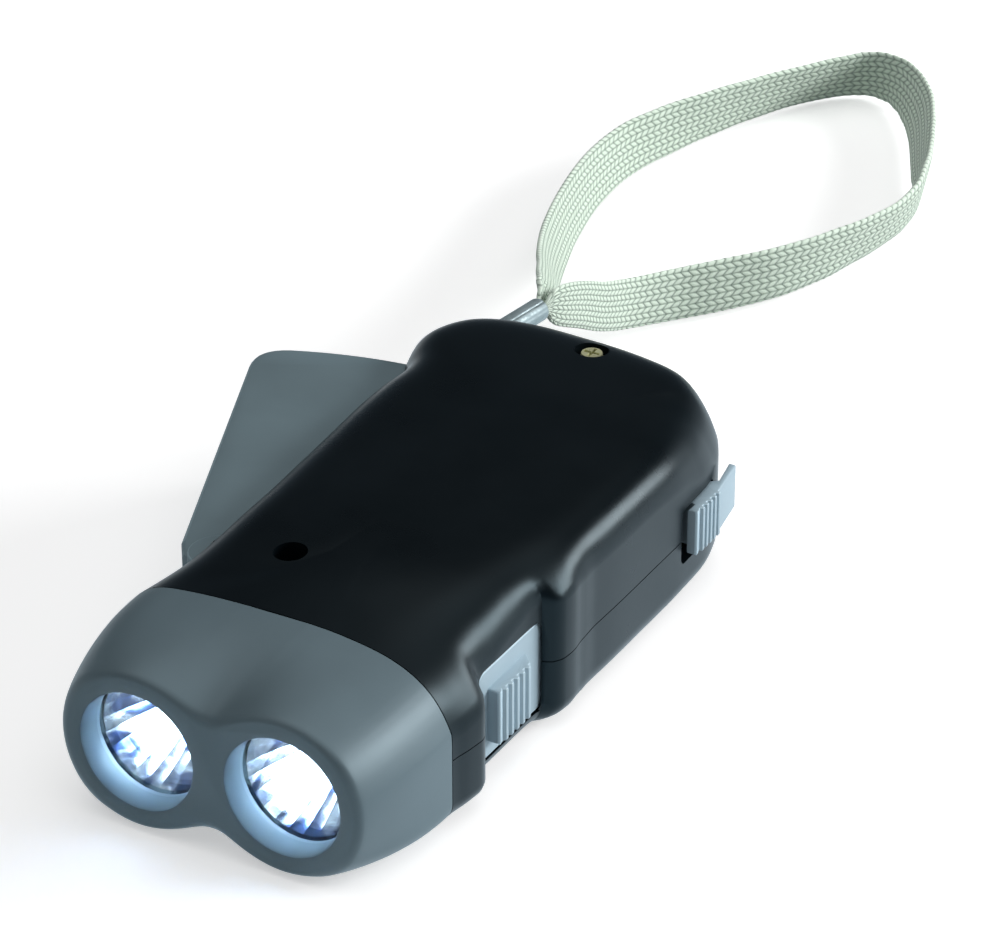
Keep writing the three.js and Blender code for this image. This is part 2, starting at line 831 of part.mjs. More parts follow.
// A round disc across the Y axis at the lamps' height
function discOnY(x, radius, front, rear, facets = sides) {
  const profile = [
    [0, front],
    [radius, front],
    [radius, rear],
    [0, rear],
  ];
  return turnedOnY(x, lampHeight, profile, facets);
}

const mirror = { rim: 5.2, depth: 9.4, thick: 0.7, mouth: 7.8, neck: 2.9, flange: 8.5, steps: 4 };
const led = { radius: 2.45, flange: 2.75, flangeThick: 0.8, tip: 6.8, domeSteps: 4 };
const ledBoardFromTop = { high: 7 };
const ledBoard = { halfWidth: 16, low: 5, ...fromTop(ledBoardFromTop), front: 16.3, thick: 1.2, corner: 2 };

function lamps() {
  const front = lensDepth + fit;
  for (const [side, x] of [
    ["left", -half],
    ["right", half],
  ]) {
    piece("lens_" + side, discOnY(x, lensRadius, front, front + lensThick), "lens");
    piece("reflector_" + side, turnedOnY(x, lampHeight, mirrorProfile()), "mirror");
    piece("led_" + side, turnedOnY(x, lampHeight, ledProfile(), fineSides), "led");
  }
  const { halfWidth, low, high, corner, thick } = ledBoard;
  const plate = geometryOf(prism(roundedRectangle(-halfWidth, halfWidth, low, high, corner), 0, thick));
  plate.rotateX(Math.PI / 2);
  plate.translate(0, ledBoard.front + thick, 0);
  piece("led_board", solid(plate), "board");
}

// The cup of a reflector: a parabola from the neck to the mouth, with a flange at the rim
function mirrorProfile() {
  const { rim, depth, thick, mouth, neck, flange, steps } = mirror;
  const inner = Array.from({ length: steps + 1 }, (_, k) => [
    Math.sqrt(neck ** 2 + (mouth ** 2 - neck ** 2) * (1 - k / steps)),
    rim + (depth * k) / steps,
  ]);
  const outer = inner.map(([radius, place]) => [radius + thick, place]).slice(1).reverse();
  return [
    ...inner,
    ...outer,
    [mouth + thick, rim + thick],
    [flange, rim + thick],
    [flange, rim],
    inner[0],
  ];
}

function ledProfile() {
  const base = mirror.rim + mirror.depth + fit;
  const dome = Array.from({ length: led.domeSteps + 1 }, (_, k) => {
    const angle = (k * Math.PI) / (2 * led.domeSteps);
    const radius = k < led.domeSteps ? led.radius * Math.cos(angle) : 0;
    return [radius, led.tip + led.radius * (1 - Math.sin(angle))];
  });
  return [
    [0, base + led.flangeThick],
    [led.flange, base + led.flangeThick],
    [led.flange, base],
    [led.radius, base],
    ...dome,
  ];
}

// Lever: a grip of two plates and a wall, open towards the body, with the toothed sector inside
const noseIn = [-4.7, -1.6]; // corners of the grip beside the pivot, from the pivot
const noseOut = [-6.7, 1.2];
const gripAngle = -22.2; // degrees of the outer edge
const gripCorner = 5;
const gripBevel = 0.6;
const hollowAngle = 9; // how far past the grip's open side the hollow is cut
const webAngle = -100; // where the hollow starts beside the hub
const webStep = 1.5;
const latchNotch = { from: -7, to: -4.4, low: 8.6, high: 11.9 };
const spring = { coil: 3.05, wire: 0.3, pitch: 0.8, low: 14.7, turns: 3, short: 5.2, long: 14, lean: -24.2 };
const springRoom = { neck: 2.4, radius: 3.8, low: 14.1 };
const springSteps = 10; // to a turn
const brace = { width: 3, spread: 5 };

function shapeOf(places) {
  return new THREE.Shape(places.map(([x, y]) => new THREE.Vector2(x, y)));
}

// Where the line from a start at the grip's angle reaches a distance from the pivot
function runToReach(start, reach) {
  const [px, py] = [start[0] - pivot[0], start[1] - pivot[1]];
  const [ux, uy] = polar([0, 0], 1, gripAngle);
  const along = px * ux + py * uy;
  return -along + Math.sqrt(along * along - px * px - py * py + reach * reach);
}

function gripStart(inset) {
  const outside = [pivot[0] + noseOut[0], pivot[1] + noseOut[1]];
  return polar(outside, inset, gripAngle + 90);
}

// Plan of the grip, drawn in by an inset, from places near the pivot round to an inner angle
function gripShape(inset, innerAngle, near) {
  const start = gripStart(inset);
  const reach = leverReach - inset;
  const corner = gripCorner - inset;
  const run = runToReach(start, reach);
  const tip = polar(start, run, gripAngle);
  const tipAngle = Math.atan2(tip[1] - pivot[1], tip[0] - pivot[0]) - corner / reach;
  const after = [pivot[0] + reach * Math.cos(tipAngle), pivot[1] + reach * Math.sin(tipAngle)];
  const shape = new THREE.Shape();
  shape.moveTo(...near[0]);
  for (const place of near.slice(1)) shape.lineTo(...place);
  shape.lineTo(...polar(start, run - corner, gripAngle));
  shape.quadraticCurveTo(...tip, ...after);
  shape.absarc(...pivot, reach, tipAngle, Math.PI / 2 - (innerAngle * Math.PI) / 180, true);
  return shape;
}

function triggerLever() {
  const outer = gripShape(0, leverInnerAngle, [
    pivot,
    [pivot[0], pivot[1] - bossRadius],
    [pivot[0] + noseIn[0], pivot[1] + noseIn[1]],
    gripStart(0),
  ]);
  const hollow = gripShape(leverWall, hollowAngle, [
    polar(pivot, bossRadius, hollowAngle),
    polar(pivot, bossRadius, webAngle),
    polar(gripStart(leverWall), -webStep, gripAngle),
  ]);
  const plates = cut(
    prism(outer, leverLow, leverHigh, gripBevel),
    prism(hollow, leverLow + leverWall, leverHigh - leverWall),
  );
  const near = leverReach - 2 * leverWall;
  const far = leverReach + leverWall;
  const notch = shapeOf([
    polar(pivot, near, latchNotch.from),
    polar(pivot, far, latchNotch.from),
    polar(pivot, far, latchNotch.to),
    polar(pivot, near, latchNotch.to),
  ]);
  const coilRoom = tube(pivot, springRoom.radius, springRoom.neck, springRoom.low, leverHigh - leverWall);
  const body = join(
    cut(
      join(plates, bar(pivot, bossRadius, leverLow, leverHigh)),
      coilRoom,
      prism(notch, latchNotch.low, latchNotch.high),
    ),
    prism(sectorShape(), layer.sectorLow, layer.sectorHigh),
    prism(braceShape(), layer.sectorLow, layer.sectorHigh),
    bar(pivot, leverDisc.radius, leverHigh - leverWall / 2, discTop),
  );
  piece("trigger_lever", cut(body, bar(pivot, pinRadius + running, -overrun, bodyHeight)), "lever");
  piece("lever_pin", bar(pivot, pinRadius, wall + fit, pinTop), "steel");
}

// A rib from the hub to the toothed band, under the open edge of the grip
function braceShape() {
  const far = sectorRadius - sector.band / 2;
  return shapeOf([
    [pivot[0] - brace.width, pivot[1]],
    pivot,
    polar(pivot, far, leverInnerAngle),
    polar(pivot, far, leverInnerAngle - brace.spread),
  ]);
}

function returnSpring() {
  const points = [];
  const place = (x, y, z) => points.push(new THREE.Vector3(pivot[0] + x, pivot[1] + y, z));
  place(spring.short, -spring.coil, spring.low);
  place(spring.short / 2, -spring.coil, spring.low);
  const sweep = spring.turns + (90 + spring.lean) / 360;
  const steps = Math.round(sweep * springSteps);
  for (let k = 0; k <= steps; k++) {
    const angle = -Math.PI / 2 - (k / steps) * sweep * 2 * Math.PI;
    const rise = (k / steps) * sweep * spring.pitch;
    place(spring.coil * Math.cos(angle), spring.coil * Math.sin(angle), spring.low + rise);
  }
  const last = points[points.length - 1];
  const top = last.z;
  const [x, y] = polar([last.x - pivot[0], last.y - pivot[1]], spring.long, spring.lean);
  place((x + last.x - pivot[0]) / 2, (y + last.y - pivot[1]) / 2, top);
  place(x, y, top);
  piece("return_spring", wire(points, spring.wire, 5), "steel");
}

// A round wire through places, square to its way at each of them
function wire(points, radius, facets) {
  const rings = points.map((point, i) => {
    const before = points[Math.max(i - 1, 0)];
    const after = points[Math.min(i + 1, points.length - 1)];
    const along = after.clone().sub(before).normalize();
    const side = new THREE.Vector3(along.y, -along.x, 0).normalize();
    const up = side.clone().cross(along);
    return Array.from({ length: facets }, (_, k) => {
      const angle = (k * 2 * Math.PI) / facets;
      const [a, b] = [radius * Math.cos(angle), radius * Math.sin(angle)];
      return [
        point.x + side.x * a + up.x * b,
        point.y + side.y * a + up.y * b,
        point.z + side.z * a + up.z * b,
      ];
    });
  });
  return stack(rings);
}

// Involute teeth
function involute(angle) {
  return Math.tan(angle) - angle;
}

// Radius and half angle of a tooth's flank, from the root up
function flankOf(teeth, module) {
  const pitch = (teeth * module) / 2;
  const base = pitch * Math.cos(pressureAngle);
  const foot = pitch - dedendumShare * module;
  const tip = pitch + addendumShare * module;
  const atPitch = Math.PI / (2 * teeth) - backlash / pitch;
  const radii = [foot, ...(base > foot ? [base] : []), pitch, tip];
  return radii.map((radius) => {
    const reached = Math.acos(base / Math.max(radius, base));
    return [radius, atPitch + involute(pressureAngle) - involute(reached)];
  });
}

// The outline of one tooth about an angle, anticlockwise
function toothPlaces(at, flank, centre) {
  const place = (radius, angle) => [
    at[0] + radius * Math.cos(angle),
    at[1] + radius * Math.sin(angle),
  ];
  return [
    ...flank.map(([radius, turn]) => place(radius, centre - turn)),
    ...[...flank].reverse().map(([radius, turn]) => place(radius, centre + turn)),
  ];
}

// Plan of a gear with a tooth towards its mate, or with a gap there
function gearShape(at, teeth, module, mate, gapThere) {
  const flank = flankOf(teeth, module);
  const pitchAngle = (2 * Math.PI) / teeth;
  const start = Math.atan2(mate[1] - at[1], mate[0] - at[0]) + (gapThere ? pitchAngle / 2 : 0);
  const places = [];
  for (let i = 0; i < teeth; i++) places.push(...toothPlaces(at, flank, start + i * pitchAngle));
  return shapeOf(places);
}

// The lever's sector: a band from the grip's outer wall, with teeth on its outside
const sector = { band: 3.5, before: 7, after: 1, root: -23, end: 28 };

function sectorShape() {
  const flank = flankOf(sectorFullTeeth, sectorModule);
  const foot = flank[0][0];
  const step = 360 / sectorFullTeeth;
  const inner = sectorRadius - sector.band;
  const places = [];
  for (let angle = sector.root; angle < sector.end; angle += step) {
    places.push(polar(pivot, inner, angle));
  }
  places.push(polar(pivot, inner, sector.end), polar(pivot, foot, sector.end));
  for (let k = sector.after; k >= -sector.before; k--) {
    const centre = ((90 - firstAxleAngle - k * step) * Math.PI) / 180;
    places.push(...toothPlaces(pivot, flank, centre));
  }
  for (let angle = firstAxleAngle - (sector.before + 1) * step; angle > sector.root; angle -= step) {
    places.push(polar(pivot, foot, angle));
  }
  places.push(polar(pivot, foot, sector.root));
  return shapeOf(places);
}

// Gears on their axles
const hubRadius = 2;
const clutchPlate = { radius: 6.2, low: 13.2, high: 13.95 };
const ratchet = { inner: 3, outer: 4.1, high: 12.8, teeth: 12 };
const pawl = { starts: [0, 180], span: 46, steps: 4, taper: 0.5 };

function gears() {
  const face = fit / 2;
  const firstPinion = gearShape(firstAxle, firstPinionTeeth, sectorModule, pivot, true);
  const firstWheel = gearShape(firstAxle, firstWheelTeeth, trainModule, secondAxle, false);
  const secondPinion = gearShape(secondAxle, secondPinionTeeth, trainModule, firstAxle, true);
  const secondWheel = gearShape(secondAxle, secondWheelTeeth, trainModule, rotorAxle, false);
  const clutchGear = gearShape(rotorAxle, clutchTeeth, trainModule, secondAxle, true);
  const first = join(
    prism(firstPinion, layer.sectorLow - face, layer.sectorHigh + face),
    bar(firstAxle, hubRadius, layer.sectorHigh, layer.firstWheelLow + face),
    prism(firstWheel, layer.firstWheelLow, layer.firstWheelHigh),
  );
  const second = join(
    prism(secondWheel, layer.secondWheelLow, layer.secondWheelHigh),
    prism(secondPinion, layer.secondWheelHigh - face, layer.firstWheelHigh + face),
  );
  const clutch = join(
    prism(clutchGear, clutchPlate.high - face, layer.secondWheelHigh + face),
    bar(rotorAxle, clutchPlate.radius, clutchPlate.low, clutchPlate.high),
    ...pawl.starts.map((start) => prism(pawlShape(start), layer.rotorHigh + fit, clutchPlate.low + face)),
  );
  for (const [name, body, at] of [
    ["gear_1", first, firstAxle],
    ["gear_2", second, secondAxle],
    ["clutch_pinion", clutch, rotorAxle],
  ]) {
    piece(name, cut(body, bar(at, axleRadius + running, -overrun, bodyHeight, fineSides)), "gear");
  }
  for (const [name, { at, low }] of [
    ["gear_axle_1", axles.first],
    ["gear_axle_2", axles.second],
    ["rotor_axle", axles.rotor],
  ]) {
    piece(name, bar(at, axleRadius, axleSeat(low), axleTop, fineSides), "steel");
  }
}

// A curved pawl that hangs under the clutch plate and closes in on the ratchet
function pawlShape(start) {
  const inner = ratchet.outer + fit;
  const away = (clutchPlate.radius - inner) * pawl.taper;
  const turns = Array.from({ length: pawl.steps + 1 }, (_, k) => k / pawl.steps);
  return shapeOf([
    ...turns.map((share) => polar(rotorAxle, inner + away * share, start + pawl.span * share)),
    ...turns.reverse().map((share) => polar(rotorAxle, clutchPlate.radius, start + pawl.span * share)),
  ]);
}

// Generator: a flywheel with a ring magnet turns round a claw-pole stator with one coil
const flywheel = { radius: 11.8, rim: 1.1, disc: 1.2, hub: 1.9, windows: 4, windowAt: 7.8, window: 1.9 };
const magnetThick = 1.5;
const stator = { radius: 8.6, bore: 2.4, core: 3.3, plate: 0.8, low: 3.4, high: 9.9 };
const claw = { count: 6, thick: 0.7, spread: 11 };
const spool = { flange: 0.5 };

function rotor() {
  const inside = flywheel.radius - flywheel.rim;
  const discLow = layer.rotorHigh - flywheel.disc;
  const low = layer.rotorLow + fit;
  const turn = 360 / flywheel.windows;
  const windows = Array.from({ length: flywheel.windows }, (_, k) =>
    bar(polar(rotorAxle, flywheel.windowAt, (k + 1 / 2) * turn), flywheel.window, 0, bodyHeight, fineSides),
  );
  const cup = join(
    tube(rotorAxle, flywheel.radius, inside, low, layer.rotorHigh),
    cut(bar(rotorAxle, inside + flywheel.rim / 2, discLow, layer.rotorHigh), ...windows),
    bar(rotorAxle, flywheel.hub, layer.rotorLow, layer.rotorHigh, fineSides),
    prism(ratchetShape(), layer.rotorHigh - fit, ratchet.high),
  );
  const bore = bar(rotorAxle, axleRadius + running, -overrun, bodyHeight, fineSides);
  piece("flywheel", cut(cup, bore), "gear");
  const outer = inside - fit / 2;
  piece("ring_magnet", tube(rotorAxle, outer, outer - magnetThick, low, discLow - fit / 2), "magnet");
}

function ratchetShape() {
  const step = 360 / ratchet.teeth;
  return shapeOf(
    Array.from({ length: ratchet.teeth }, (_, k) => [
      polar(rotorAxle, ratchet.inner, k * step),
      polar(rotorAxle, ratchet.outer, k * step),
    ]).flat(),
  );
}

// Claws of one yoke, which stand round the coil between those of the other yoke
function claws(start, low, high) {
  const inner = stator.radius - claw.thick;
  return Array.from({ length: claw.count }, (_, k) => {
    const middle = start + (k * 360) / claw.count;
    const shape = shapeOf([
      polar(rotorAxle, inner, middle - claw.spread),
      polar(rotorAxle, inner, middle + claw.spread),
      polar(rotorAxle, stator.radius - running, middle + claw.spread),
      polar(rotorAxle, stator.radius - running, middle - claw.spread),
    ]);
    return prism(shape, low, high);
  });
}

function statorParts() {
  const { low, high, plate, radius, bore, core } = stator;
  const lower = join(
    tube(rotorAxle, radius, bore, low, low + plate),
    tube(rotorAxle, core, bore, low, high - plate - fit / 2),
    ...claws(0, low + plate / 2, high - plate - 2 * fit),
  );
  const upper = join(
    tube(rotorAxle, radius, bore, high - plate, high),
    ...claws(180 / claw.count, low + plate + 2 * fit, high - plate / 2),
  );
  piece("stator_yoke_lower", lower, "steel");
  piece("stator_yoke_upper", upper, "steel");
  const rim = radius - claw.thick - fit;
  const [spoolLow, spoolHigh] = [low + plate + fit / 2, high - plate - fit / 2];
  const drum = core + fit / 2;
  const bobbin = join(
    tube(rotorAxle, rim, drum, spoolLow, spoolLow + spool.flange),
    tube(rotorAxle, rim, drum, spoolHigh - spool.flange, spoolHigh),
    tube(rotorAxle, drum + spool.flange, drum, spoolLow, spoolHigh),
  );
  piece("coil_bobbin", bobbin, "gear");
  const gap = spool.flange + fit / 2;
  piece("coil_winding", tube(rotorAxle, rim - fit, drum + gap, spoolLow + gap, spoolHigh - gap), "copper");
}

// Slides
const thumbFromRight = { top: 1.8, root: 4.4 };
const thumb = {
  ...fromRight(thumbFromRight),
  front: 30.8,
  land: 31.8,
  rear: 40.7,
  pitch: 1.42,
  low: 5.6,
  high: 13.2,
};
const buttonFromRight = { top: 0.1, under: 1.7 };
const buttonFromTail = { front: 25.1, land: 23.8, neck: 23.2, rear: 10.9 };
const button = {
  ...fromRight(buttonFromRight),
  ...fromTail(buttonFromTail),
  pitch: 1.15,
  low: 7.7,
  high: 14.3,
};
const buttonTailFromRight = { outer: 1.7, inner: 2.7, root: 3.8, corner: 1.8 };
const buttonTailFromTail = { cornerAt: 15.8, rootAt: 17.4 };
const buttonTail = {
  ...fromRight(buttonTailFromRight),
  ...fromTail(buttonTailFromTail),
};
const ribs = { count: 5, high: 0.45, wide: 0.5 };
const flange = { thick: 0.7, front: 28.3, rear: 46.4, low: 3.4, high: 16.1, corner: 1.7 };
const slideBevel = 0.25;
const carriageFromRight = { lowX: 9, highX: 7.2 };
const carriageFromTail = { front: 23, rear: 12.6 };
const carriage = {
  ...fromRight(carriageFromRight),
  ...fromTail(carriageFromTail),
  low: 9,
  high: 11.5,
};
const buttonStemFromTail = { front: 23, rear: 18 };
const buttonStem = { ...fromTail(buttonStemFromTail), low: 8.2, high: 12 };
const armFromTail = { front: 14.6 };
const arm = { lowX: -5, ...fromTail(armFromTail) };
const lockToothFromTail = { tip: 16.8 };
const lockTooth = { lowX: -3.5, highX: -2.1, ...fromTail(lockToothFromTail) };

// Ridges across a thumb piece, drawn from front to rear at a height
function ribPlaces(front, top, pitch) {
  const slope = (pitch - ribs.wide) / 4;
  return Array.from({ length: ribs.count }, (_, k) => {
    const at = front + k * pitch;
    return [
      [top - ribs.high, at],
      [top, at + slope],
      [top, at + slope + ribs.wide],
      [top - ribs.high, at + 2 * slope + ribs.wide],
    ];
  }).flat();
}

function slides() {
  const plate = sidePrism(
    roundedRectangle(flange.front, flange.rear, flange.low, flange.high, flange.corner),
    pocket.floor + fit,
    pocket.floor + fit + flange.thick,
  );
  const ribEnd = thumb.land + ribs.count * thumb.pitch;
  const pad = shapeOf([
    [thumb.root, thumb.front],
    [thumb.top, thumb.front],
    ...ribPlaces(thumb.land, thumb.top, thumb.pitch),
    [thumb.top - ribs.high, ribEnd],
    [thumb.root + ribs.wide, thumb.rear],
    [thumb.root, thumb.rear],
  ]);
  const prongs = cut(
    box([fork.lowX, fork.front, fork.low], [pocket.floor + 2 * fit, fork.rear, fork.high]),
    box([0, knob.front - fit, 0], [knob.highX + fit, knob.rear + fit, bodyHeight]),
  );
  piece("switch_slide", join(plate, prism(pad, thumb.low, thumb.high, slideBevel), prongs), "slide");

  const top = shapeOf([
    [buttonTail.root, buttonStem.front],
    [button.under, button.neck],
    [button.under, button.front],
    [button.top, button.front],
    ...ribPlaces(button.land, button.top, button.pitch),
    [button.top - ribs.high, button.land + ribs.count * button.pitch],
    [buttonTail.outer, button.rear],
    [buttonTail.inner, button.rear],
    [buttonTail.corner, buttonTail.cornerAt],
    [buttonTail.root, buttonTail.rootAt],
  ]);
  const lock = join(
    prism(top, button.low, button.high, slideBevel),
    box(
      [carriage.lowX, buttonStem.front, buttonStem.low],
      [buttonTail.root + 2 * fit, buttonStem.rear, buttonStem.high],
    ),
    box(
      [carriage.lowX, carriage.front, carriage.low],
      [carriage.highX, carriage.rear, carriage.high],
    ),
    box([arm.lowX, arm.front, carriage.low], [carriage.highX, carriage.rear, carriage.high]),
    box([lockTooth.lowX, lockTooth.tip, carriage.low], [lockTooth.highX, carriage.rear, carriage.high]),
  );
  piece("lock_slide", lock, "slide");
}

function slideSwitch() {
  const { lowX, highX, front, rear, low, high } = switchBody;
  const middle = (front + rear) / 2;
  const room = box(
    [knob.lowX - fit, knob.front - fit, knob.low - fit],
    [highX + overrun, knob.rear + switchTravel + fit, knob.high + fit],
  );
  const legs = [-legPitch, 0, legPitch].map((offset) =>
    box(
      [lowX - legLong, middle + offset - legRadius, (low + high) / 2 - legRadius],
      [lowX + fit, middle + offset + legRadius, (low + high) / 2 + legRadius],
    ),
  );
  piece("slide_switch", join(cut(box([lowX, front, low], [highX, rear, high]), room), ...legs), "steel");
  const small = box([knob.lowX, knob.front, knob.low], [knob.highX, knob.rear, knob.high]);
  piece("switch_knob", small, "black");
}

// Small parts
function caseScrew(name, at, seat) {
  const head = bar(at, screw.head, seat + running, seat + screw.high, sides, screw.crown);
  const deep = seat + screw.high - recess.deep;
  const [long, wide] = [recess.long / 2, recess.wide / 2];
  const cross = [
    [long, wide],
    [wide, long],
  ].map(([x, y]) => box([at[0] - x, at[1] - y, deep], [at[0] + x, at[1] + y, bodyHeight]));
  const shank = bar(at, screw.shank, screw.tip, seat + fit, fineSides);
  piece(name, cut(join(head, shank), ...cross), "zinc");
}

function cellAndBoard() {
  const can = bar(cellPlace, cell.radius, cell.low, cell.high - cell.step);
  const cap = bar(cellPlace, cell.radius - 2 * cell.step, cell.low, cell.high);
  piece("button_cell", join(can, cap), "steel");
  const plate = roundedRectangle(board.lowX, board.highX, board.front, board.rear, board.corner);
  piece("circuit_board", prism(plate, board.low, board.high), "board");
}

function strapFerrule() {
  const { radius, bore, inner, flange, flangeThick, mouth, mouthDeep, lipRound } = ferrule;
  const profile = [
    [0, inner],
    [flange, inner],
    [flange, inner + flangeThick],
    [radius, inner + flangeThick],
    [radius, mouth - lipRound],
    [(radius + bore) / 2, mouth],
    [bore, mouth - lipRound],
    [bore, mouth - mouthDeep],
    [0, mouth - mouthDeep],
  ];
  piece("strap_ferrule", turnedOnFerrule(profile), "steel");
}

// Wrist strap: a flat braid on edge that leaves the ferrule, runs round its loop and comes back.
// Each place of its route has the middle of the braid, from the ferrule's middle, and the lean of
// its upper edge, in degrees, out of the loop.
const strap = { wide: 8.8, thick: 1.3, endWide: 1.8, endThick: 0.7, held: 1.5, taper: 8, steps: 78 };
const strapWay = [
  [0.57, 8.8, 0, 0],
  [0.75, 10.2, 0, 0],
  [0.3, 11.9, -0.2, 4],
  [-0.5, 15, -0.8, 24],
  [-3.4, 21.5, -3, 32],
  [-8.3, 30.5, -6.8, 27],
  [-14.5, 41.5, -10.6, 20],
  [-20.3, 54.5, -13.4, 20],
  [-24.7, 67.5, -14.5, 18],
  [-27.5, 80.5, -14.7, 16],
  [-28, 92.5, -14.7, 12],
  [-26.3, 101.1, -14.7, 5],
  [-22.6, 112.4, -14.7, -8],
  [-19.3, 121, -14.8, -15],
  [-15.1, 130, -14.9, -20],
  [-10.7, 136.8, -14.9, -18],
  [-7.1, 139.9, -14.8, -12],
  [-3.3, 140, -14.7, 0],
  [0.7, 137.8, -14.7, 14],
  [4.3, 134, -14.9, 21],
  [7.9, 128.7, -15, 24],
  [11.5, 121.5, -15, 23],
  [14.7, 114.3, -14.9, 20],
  [17.4, 108.3, -14.8, 14],
  [19.5, 102.1, -14.7, 11],
  [20.7, 95.5, -14.8, 16],
  [20.5, 88.5, -14.9, 20],
  [19.1, 81, -14.8, 17],
  [16.6, 72.5, -14.7, 9],
  [12.7, 63.9, -14.7, 3],
  [7.3, 55.9, -14.7, 0],
  [2.5, 48.7, -14.4, 0],
  [-0.1, 40.5, -12.8, 0],
  [0.2, 31.5, -9.3, 0],
  [1.3, 22.5, -4.8, 0],
  [2, 15.5, -1.6, 0],
  [2, 12, -0.2, 0],
  [1.9, 10.2, 0, 0],
  [1.71, 8.8, 0, 0],
];

// Distances along the strap at which it has a ring, closer together where it widens
function strapStops(long) {
  const start = Array.from({ length: 4 }, (_, k) => strap.held + (k * strap.taper) / 4);
  const first = strap.held + strap.taper;
  const pitch = (long - 2 * first) / strap.steps;
  const middle = Array.from({ length: strap.steps + 1 }, (_, k) => first + k * pitch);
  return [0, ...start, ...middle, ...start.map((stop) => long - stop).reverse(), long];
}

function wristStrap() {
  const start = new THREE.Vector3(ferrule.x, ferrule.y, ferrule.z);
  const places = strapWay.map(([x, y, z]) => new THREE.Vector3(x, y, z).add(start));
  const curve = new THREE.CatmullRomCurve3(places, false, "centripetal");
  const long = curve.getLength();
  const up = new THREE.Vector3(0, 0, 1);
  const rings = strapStops(long).map((stop) => {
    const along = stop / long;
    const point = curve.getPointAt(along);
    const way = curve.getTangentAt(along);
    const free = Math.min(Math.max(Math.min(stop, long - stop) - strap.held, 0) / strap.taper, 1);
    const share = 1 - (1 - free) ** 2;
    const wide = (strap.endWide + (strap.wide - strap.endWide) * share) / 2;
    const thick = (strap.endThick + (strap.thick - strap.endThick) * share) / 2;
    const side = way.clone().cross(up).normalize();
    const rise = side.clone().cross(way).normalize();
    const lean = (leanAt(curve.getUtoTmapping(along)) * Math.PI) / 180;
    side.applyAxisAngle(way, -lean).multiplyScalar(thick);
    rise.applyAxisAngle(way, -lean).multiplyScalar(wide);
    return [
      [1, 1],
      [-1, 1],
      [-1, -1],
      [1, -1],
    ].map(([a, b]) => point.clone().addScaledVector(side, a).addScaledVector(rise, b).toArray());
  });
  piece("wrist_strap", stack(rings), "strap");
}

// The lean between two places of the route, at a share of its places
function leanAt(share) {
  const at = share * (strapWay.length - 1);
  const k = Math.min(Math.floor(at), strapWay.length - 2);
  const [before, after] = [strapWay[k][3], strapWay[k + 1][3]];
  return before + (after - before) * (at - k);
}

lowerCasing();
upperCasing();
headBezel();
lamps();
triggerLever();
returnSpring();
gears();
rotor();
statorParts();
slides();
slideSwitch();
caseScrew("case_screw_front", frontScrew, screw.frontSeat);
caseScrew("case_screw_rear", rearScrew, screw.rearSeat);
cellAndBoard();
strapFerrule();
wristStrap();

export default root;
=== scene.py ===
# A squeeze-dynamo flashlight with two lamps, dressed for one studio view. Sizes are in millimetres
# from the lamp face (Y), the middle line (X) and the underside (Z); at() turns them into metres.
import json
import math

import bpy
import bmesh
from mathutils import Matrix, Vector


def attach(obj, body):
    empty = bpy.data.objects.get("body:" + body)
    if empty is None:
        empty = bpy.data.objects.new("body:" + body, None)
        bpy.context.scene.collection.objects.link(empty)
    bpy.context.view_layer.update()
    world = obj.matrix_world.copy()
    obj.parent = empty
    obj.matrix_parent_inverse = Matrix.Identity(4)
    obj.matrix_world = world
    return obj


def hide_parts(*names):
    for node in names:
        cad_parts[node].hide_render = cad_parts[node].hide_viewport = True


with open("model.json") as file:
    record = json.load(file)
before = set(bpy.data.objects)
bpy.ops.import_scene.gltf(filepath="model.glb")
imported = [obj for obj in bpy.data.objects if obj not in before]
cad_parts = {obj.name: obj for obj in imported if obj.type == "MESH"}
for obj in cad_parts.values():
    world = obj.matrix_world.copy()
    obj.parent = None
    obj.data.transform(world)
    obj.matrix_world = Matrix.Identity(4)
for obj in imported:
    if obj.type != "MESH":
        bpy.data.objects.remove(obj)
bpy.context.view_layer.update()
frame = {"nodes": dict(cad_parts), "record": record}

MM = 0.001
BASE = 54  # the frame's origin lies this far behind the lamp face


def at(x, y, z):
    return (x * MM, (y - BASE) * MM, z * MM)


# ---------------------------------------------------------------- camera
AZIMUTH = math.radians(29.204)
ELEVATION = math.radians(28.913)
DISTANCE = 550
TARGET = (-6.319, 82.805, 12.0)
SENSOR = 36.0
LENS = 4.0615 * SENSOR


def make_camera():
    data = bpy.data.cameras.new("camera")
    data.sensor_fit = "HORIZONTAL"
    data.sensor_width = SENSOR
    data.lens = LENS
    data.clip_start, data.clip_end = 0.01, 20
    camera = bpy.data.objects.new("camera", data)
    bpy.context.collection.objects.link(camera)
    back = Vector((
        math.sin(AZIMUTH) * math.cos(ELEVATION),
        -math.cos(AZIMUTH) * math.cos(ELEVATION),
        math.sin(ELEVATION),
    ))
    camera.location = Vector(at(*TARGET)) + back * DISTANCE * MM
    camera.rotation_euler = back.to_track_quat("Z", "Y").to_euler()
    bpy.context.scene.camera = camera


make_camera()


# ---------------------------------------------------------------- mesh helpers
def piece(name, points, faces, smooth=True):
    mesh = bpy.data.meshes.new(name)
    mesh.from_pydata([at(*p) for p in points], [], faces)
    mesh.update()
    if smooth:
        mesh.shade_smooth()
    obj = bpy.data.objects.new(name, mesh)
    bpy.context.collection.objects.link(obj)
    return obj


def stack(rings):
    """Points and faces of closed rings of equal count, with flat ends."""
    count = len(rings[0])
    points = [p for ring in rings for p in ring]
    faces = []
    for k in range(len(rings) - 1):
        here, there = k * count, (k + 1) * count
        for i in range(count):
            j = (i + 1) % count
            faces.append((here + i, here + j, there + j, there + i))
    faces.append(tuple(reversed(range(count))))
    faces.append(tuple(range(len(points) - count, len(points))))
    return points, faces


def face_out(obj):
    work = bmesh.new()
    work.from_mesh(obj.data)
    bmesh.ops.recalc_face_normals(work, faces=work.faces)
    work.to_mesh(obj.data)
    work.free()


